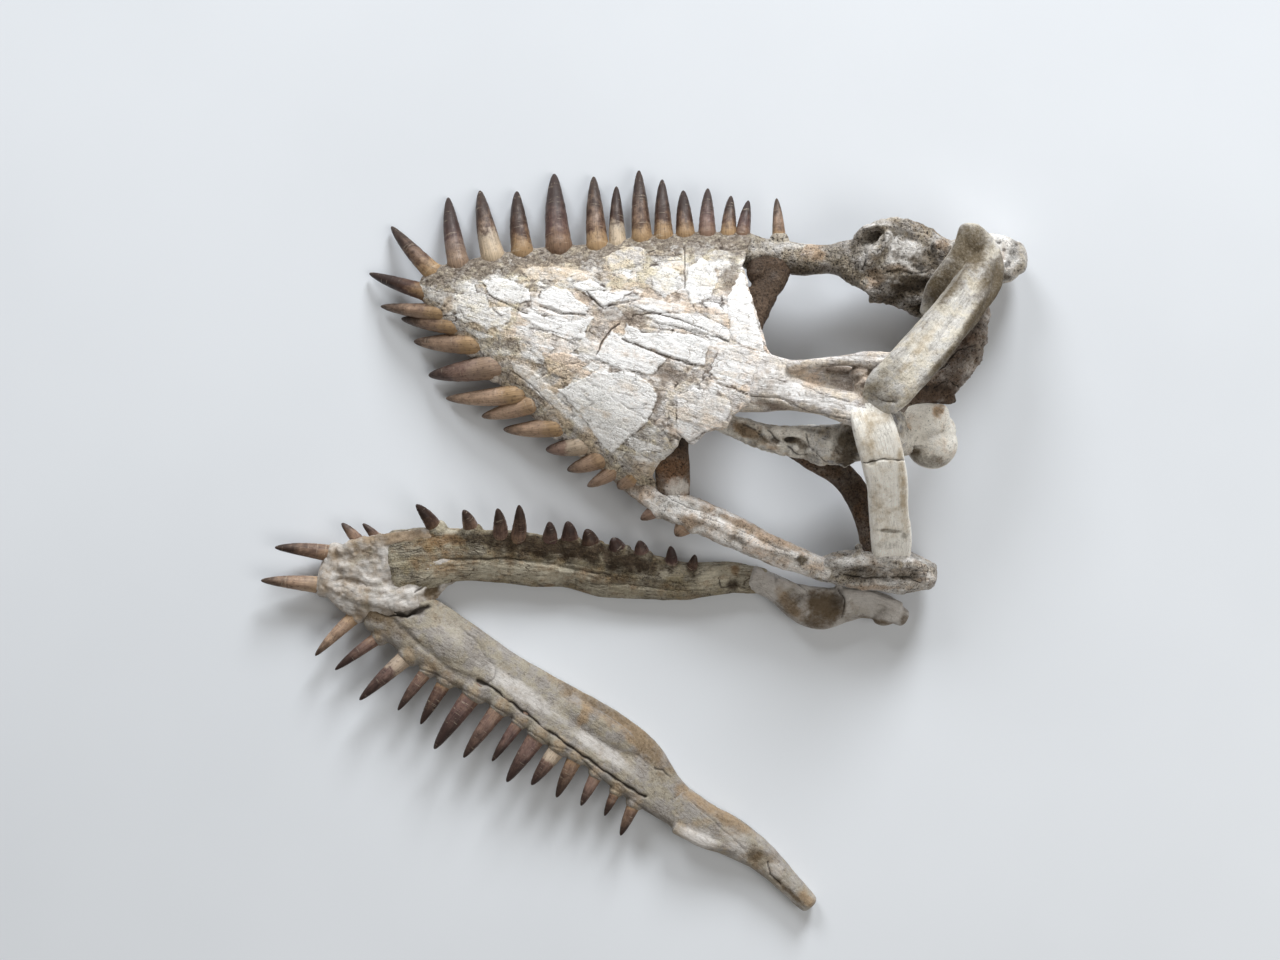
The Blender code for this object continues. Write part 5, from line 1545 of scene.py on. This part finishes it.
def fossil(name, colours, fibre, grit):
    """Fossil bone: mottled ground, pale fragments, warm and brown stains, fibres and pits."""
    ground, second, pale, tint, stain, dark = (rgb(*colour) for colour in colours)
    net = Net(name)
    place, along = net.place(), net.grain()
    stained, darkened, paled, tinted = net.channels("marks")

    mottle = net.noise(place, 85.0, 5.0, 0.62)
    cloud = net.noise(net.stretch(place, (1.0, 1.0, -1.0)), 160.0)
    fine = net.noise(place, 420.0, 4.0, 0.7)
    grains = net.noise(place, 1100.0, 2.0)
    pepper = net.noise(place, 560.0, 2.0, 0.75)
    threads = net.noise(net.stretch(along, (0.07, 0.6, 0.6)), 1.0, 5.0, 0.65, 0.1)
    hairs = net.noise(net.stretch(along, (0.12, 1.7, 1.7)), 1.0, 3.0)
    pit = net.times(net.span(net.scatter(place, 380.0), 0.14, 0.32, 1.0, 0.0),
                    net.span(fine, 0.48, 0.6))
    split = net.scatter(net.stretch(along, (0.05, 0.36, 0.36)), 1.0, feature="DISTANCE_TO_EDGE")
    splits = net.times(net.span(split, 0.01, 0.06, 1.0, 0.0), net.span(mottle, 0.48, 0.6))

    colour = net.mix(net.span(mottle, 0.42, 0.58), ground, second)
    edge = net.times_plus(cloud, 0.6, net.minus(paled, 0.3))
    colour = net.mix(net.span(edge, 0.05, 0.8), colour, pale)
    warm = net.times_plus(net.minus(cloud, mottle), 1.2, tinted)
    colour = net.mix(net.span(warm, 0.05, 1.0, 0.0, 0.85), colour, tint)
    brown = net.times_plus(net.plus(fine, cloud), 0.6, net.minus(stained, 0.6))
    colour = net.mix(net.span(brown, 0.0, 1.0, 0.0, 0.97), colour, stain)

    colour = net.tone(colour, net.span(threads, 0.38, 0.62, 1.0 - 0.13 * fibre, 1.0 + 0.1 * fibre))
    colour = net.tone(colour, net.span(hairs, 0.34, 0.48, 1.0 - 0.16 * fibre, 1.05))
    plain = net.span(edge, 0.1, 0.8, 1.0, 0.5)
    speck = net.span(grains, 0.36, 0.56, 1.0 - 0.22 * grit, 1.06)
    colour = net.mix(plain, colour, net.tone(colour, speck))
    rough = net.times(net.span(net.times_plus(stained, 0.2, cloud), 0.44, 0.62), plain)
    salt = net.times(net.span(pepper, 0.46, 0.36), rough)
    salt = net.times(salt, net.span(stained, 0.2, 0.8, 0.5 * grit, 0.12))
    colour = net.mix(salt, colour, ground)
    black = net.times(net.span(pepper, 0.54, 0.62), rough)
    colour = net.mix(net.times(black, 0.65 * grit, clamp=True), colour, dark)
    colour = net.mix(net.times(splits, 0.6 * fibre), colour, stain)
    # The dark marks: cracks, seams, pits and dark spots, together with painted shade in recesses
    # and painted shadows under ledges.
    dark_marks_and_shade = net.span(darkened, 0.08, 0.95, 0.0, 0.92)
    colour = net.mix(net.math("MAXIMUM", net.times(pit, 0.5 * grit), dark_marks_and_shade), colour, dark)

    height = net.times_plus(threads, 1.3 * fibre, net.times(hairs, 0.4 * fibre))
    for relief, depth in (
        (fine, 1.3 * grit), (grains, 0.4 * grit), (net.times(pepper, rough), -1.2 * grit),
        (pit, -0.5 * grit), (splits, -0.4 * fibre),
    ):
        height = net.times_plus(relief, depth, height)
    height = net.times(height, net.span(edge, 0.1, 0.8, 1.0, 0.45))
    dull = net.span(net.plus(mottle, net.times(stained, 0.15)), 0.3, 0.8, 0.55, 0.86)
    return net.finished(colour, dull, net.bump(height, 1.0, 0.0008))


def enamel(name, colours):
    """Fossil tooth: dark tip, warm root, pale cracks and fine striae, with a satin gloss."""
    tip, deep, light, base, pale, cool = (rgb(*colour) for colour in colours)
    net = Net(name)
    share, own, warmth, ringed = net.channels("crown")
    along = net.grain()
    cloud = net.noise(along, 0.16)
    striae = net.noise(net.stretch(along, (0.05, 1.3, 1.3)), 1.0, 3.0)
    rings = net.noise(net.stretch(along, (0.8, 0.04, 0.04)), 1.0, 3.0, 0.7)

    body = net.times_plus(cloud, 1.2, net.minus(own, 0.6), clamp=True)
    colour = net.mix(body, light, deep)
    colour = net.mix(net.span(warmth, 0.4, 0.0, 0.0, 0.6), colour, cool)
    top = net.times_plus(own, 0.5, net.times_plus(cloud, 0.7, net.minus(share, 0.6)))
    colour = net.mix(net.span(top, 0.35, 0.95, 0.0, 0.85), colour, tip)
    low = net.times_plus(cloud, 0.5, net.minus(share, 0.25))
    root = net.times(net.span(low, 0.28, 0.04), net.span(warmth, 0.0, 0.6, 0.2, 0.8))
    colour = net.mix(root, colour, base)
    blanched = net.times(net.span(low, 0.4, 0.25), net.span(ringed, 0.85, 0.97, 0.0, 0.6))
    colour = net.mix(blanched, colour, pale)
    colour = net.tone(colour, net.span(striae, 0.38, 0.62, 0.82, 1.1))
    crack = net.times(net.span(rings, 0.6, 0.64), net.span(cloud, 0.45, 0.6))
    colour = net.mix(net.times(crack, 0.4), colour, pale)
    blot = net.span(net.noise(along, 0.5, 3.0), 0.34, 0.46, 0.4, 0.0)
    colour = net.mix(blot, colour, tip)

    height = net.times_plus(striae, 0.8, net.times(rings, 0.25))
    dull = net.span(cloud, 0.3, 0.7, 0.3, 0.52)
    return net.finished(colour, dull, net.bump(height, 0.5, 0.0006))


def paper(name):
    """The matt floor, with the faintest unevenness."""
    net = Net(name)
    place = net.place()
    cloud = net.span(net.noise(place, 2.5, 4.0, 0.5), 0.3, 0.7)
    colour = net.mix(cloud, *(rgb(*shade) for shade in PAPER))
    return net.finished(colour, 0.9, net.bump(net.noise(place, 900.0), 0.05, 0.0005))


MATERIALS = {slot: fossil(slot, *look) for slot, look in LOOKS.items()}
MATERIALS["tooth"] = enamel("tooth", TOOTH_COLOURS)


# The skull

def finish_piece(piece, slot, *nodes):
    piece.data.materials.clear()
    piece.data.materials.append(MATERIALS[slot])
    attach(piece, "root")
    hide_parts(*nodes)


def lay_matrix(surface):
    """Granular matrix between the snout's fragments and along its toothed margins."""
    co, v = surface.co, surface.grain[:, 1]
    reach_right, reach_left = snout_at(surface.grain[:, 0])[:2]
    margin = np.minimum(reach_right - v, v + reach_left)
    crumbs, _, own = cells(co, CRUMB, 15)
    soil = ease(0.1, 0.55, noise(co, 17.0, 86) + 0.5 * noise(co, 6.0, 87))
    ragged_margin = margin + 9 * noise(co, 9.0, 81)
    soil = np.maximum(soil, 1 - ease(*SOIL_MARGIN, ragged_margin)) * surface.facing
    rim = (1 - ease(*STAINED_MARGIN, margin + 8 * noise(co, 9.0, 82))) * surface.facing
    surface.lift += soil * ((0.5 - crumbs) * 0.55 + 0.4 * noise(co, 4.0, 88) - surface.lift * 0.6)
    muted = 1 - 0.6 * (v < 0) * (1 - ease(*PALER_LEFT_MARGIN, margin))
    surface.marks[:, STAIN] += (soil * (0.35 + 0.7 * (own - 0.5)) + 0.5 * rim) * muted
    surface.marks[:, PALE] -= (soil * (0.35 - 0.6 * (own - 0.5)) + 0.15 * rim) * muted
    surface.marks[:, DARK] += (soil + rim) * ease(0.55, 0.8, crumbs) * 0.25
    return soil


def lay_fragments(surface):
    """The sharp-edged fragments of bone that stand on the snout."""
    co = surface.co
    ragged = 1.6 * noise(surface.grain, (9.0, 2.6, 6.0), 83) + 0.7 * noise(co, 2.2, 84)
    broken = ease(-0.2, 0.5, noise(co, 9.0, 85))
    for outline, height, pale, tint in FRAGMENTS:
        depth = inside_outline(surface.sheet, outline) + ragged
        share = ease(-0.6, 0.7, depth) * surface.facing
        swell = 0.3 * noise(co, 30.0, len(outline) + height)
        surface.lift += (0.55 * height + swell - surface.lift * 0.6) * share
        for channel, amount in ((STAIN, 0.0), (PALE, pale), (TINT, tint)):
            surface.marks[:, channel] += (amount - surface.marks[:, channel]) * share * 0.88
        surface.marks[:, DARK] *= 1 - 0.8 * share
        rim = np.exp(-(((depth + 0.6) / 0.8) ** 2)) * surface.facing * broken
        surface.lift -= 0.3 * rim
        surface.darken(0.5 * rim)


def snout_grain(co):
    return np.stack((*snout_place(co), co[:, 2]), 1)


def make_snout(teeth):
    """The plate of the snout as one surface, cut into its four bones along the seams."""
    shells = [less(snout_shell(), rear_prism())] + [
        sleeve(base - SNOUT_SLEEVE_DROP, way, breadth * SNOUT_SLEEVE_SIZE)
        for base, _, way, breadth in teeth
    ]
    surface = Surface(shells, snout_grain)
    surface.marks += SNOUT_MARKS
    surface.weather(*SNOUT_WEATHER)
    surface.slivers(PLATE_SLIVER, 0.5, 0.75, 27)
    soil = lay_matrix(surface)
    surface.spots("snout")
    lay_fragments(surface)
    surface.slivers(FINE_SLIVER, 0.18, 0.45, 37, 1 - soil)
    surface.cracks("snout")

    u, v = surface.grain[:, 0], surface.grain[:, 1]
    wave = 2.2 * noise(surface.co, 9.0, 95) + noise(surface.co, 3.5, 96)
    front = u - PREMAXILLA_END + wave
    right, left = (side + wave for side in roof_sides(u, v))
    for seam, there in ((front, 1), (right, front > 0), (left, front > 0)):
        line = np.exp(-((seam / SEAM_WIDTH) ** 2)) * there * ease(-0.6, 0.4, wave)
        surface.lift -= SEAM_DEPTH * line
        surface.darken(0.4 * line)
    surface.raise_up()

    first = surface.whole("loops", "vertex_index")[surface.whole("polygons", "loop_start")]
    front, right, left, v = front[first], right[first], left[first], v[first]
    roof = (right > 0) & (left > 0)
    for name, faces, slot in (
        ("premaxillae", front < 0, "snout_bone"),
        ("skull_roof", (front >= 0) & roof, "roof_bone"),
        ("maxilla_right", (front >= 0) & ~roof & (v > 0), "snout_bone"),
        ("maxilla_left", (front >= 0) & ~roof & (v <= 0), "snout_bone"),
    ):
        finish_piece(surface.piece(name + "_bone", faces), slot, name)


def grain_along(co, rows):
    """Each point's distance along the bone, to its left and above its middle line."""
    middle, heading, side, up = path_frames(spline(rows, GRAIN_STEP))
    run = distance_along(middle)
    nearest = np.empty(len(co), int)
    for start in range(0, len(co), BATCH):
        part = co[start:start + BATCH, None, :2] - middle[None, :, :2]
        nearest[start:start + BATCH] = (part**2).sum(2).argmin(1)
    away = co - middle[nearest]
    return np.stack((
        run[nearest] + (away * heading[nearest]).sum(1),
        (away * side[nearest]).sum(1), (away * up[nearest]).sum(1),
    ), 1)


def make_bone(name, teeth):
    """A bone on its own: its path, ridges, swellings and collars as one surface."""
    slot, lump, fibre, grit, stain, pale, tint = BONES[name]
    rows = sections(PATHS[name])
    shells = [bone_shell(rows, SQUARENESS.get(name, PLAIN_SQUARENESS))]
    for ridge in RIDGES.get(name, ()):
        placed = sections((*from_sheet(px, py, z), *size) for px, py, z, *size in ridge)
        shells.append(bone_shell(placed, RIDGE_SQUARENESS.get(name, PLAIN_RIDGE_SQUARENESS)))
    shells += [swelling(*row) for row in SWELLINGS.get(name, ())]
    shells += [sleeve(base, way, breadth) for base, _, way, breadth in teeth]
    surface = Surface(shells, lambda co: grain_along(co, rows), RAGGED_BY_SLOT.get(slot, RAGGED))
    surface.marks += (stain, 0, pale, tint)
    surface.weather(lump, fibre, grit)
    surface.spots(name)
    surface.cracks(name)
    for base, _, way, _ in teeth if slot == "jaw_bone" else ():
        px, py = to_sheet(base[None] - way * 2)[0]
        surface.spot(px, py, *SOCKET_SPOT)
    surface.raise_up()
    finish_piece(surface.piece(name + "_bone"), slot, name)


make_snout(lines_of("premaxillae", "maxilla_right", "maxilla_left"))
for bone in BONES:
    make_bone(bone, lines_of(bone))
for seed, bone in enumerate(TEETH, TEETH_SEED):
    finish_piece(teeth_piece(bone + "_teeth", TEETH[bone], seed), "tooth", bone)


# Floor, light and camera

def stage_floor():
    mesh = bpy.data.meshes.new("floor")
    corners = ((-1, -1), (1, -1), (1, 1), (-1, 1))
    points = [(x * FLOOR_REACH, y * FLOOR_REACH, 0) for x, y in corners]
    mesh.from_pydata(points, [], [(0, 1, 2, 3)])
    floor = linked("floor", mesh)
    mesh.materials.append(paper("floor"))


def soft_light(name, place, size, watts, colour):
    """A round lamp that points at the middle of the floor."""
    light = bpy.data.lights.new(name, "AREA")
    light.shape, light.size, light.energy, light.color = "DISK", size, watts, colour
    lamp = linked(name, light)
    lamp.location = place
    x, y, z = -np.array(place)
    lamp.rotation_euler = (math.atan2(math.hypot(x, y), -z), 0, math.atan2(-x, y))


def dim_room():
    world = bpy.data.worlds.new("room")
    world.use_nodes = True
    background = world.node_tree.nodes["Background"]
    background.inputs["Color"].default_value = (*ROOM_COLOUR, 1.0)
    background.inputs["Strength"].default_value = ROOM_STRENGTH
    bpy.context.scene.world = world


def look_down():
    camera = bpy.data.cameras.new("camera")
    camera.sensor_width = SENSOR
    camera.lens = SENSOR * EYE / (SHEET_WIDTH * SHEET_UNIT)
    camera.clip_start, camera.clip_end = 0.05, 20
    seen = linked("camera", camera)
    seen.location = (SHIFT[0] * MM, SHIFT[1] * MM, EYE * MM)
    bpy.context.scene.camera = seen


stage_floor()
for light in LIGHTS:
    soft_light(*light)
dim_room()
bpy.context.scene.view_settings.view_transform = "Standard"
look_down()
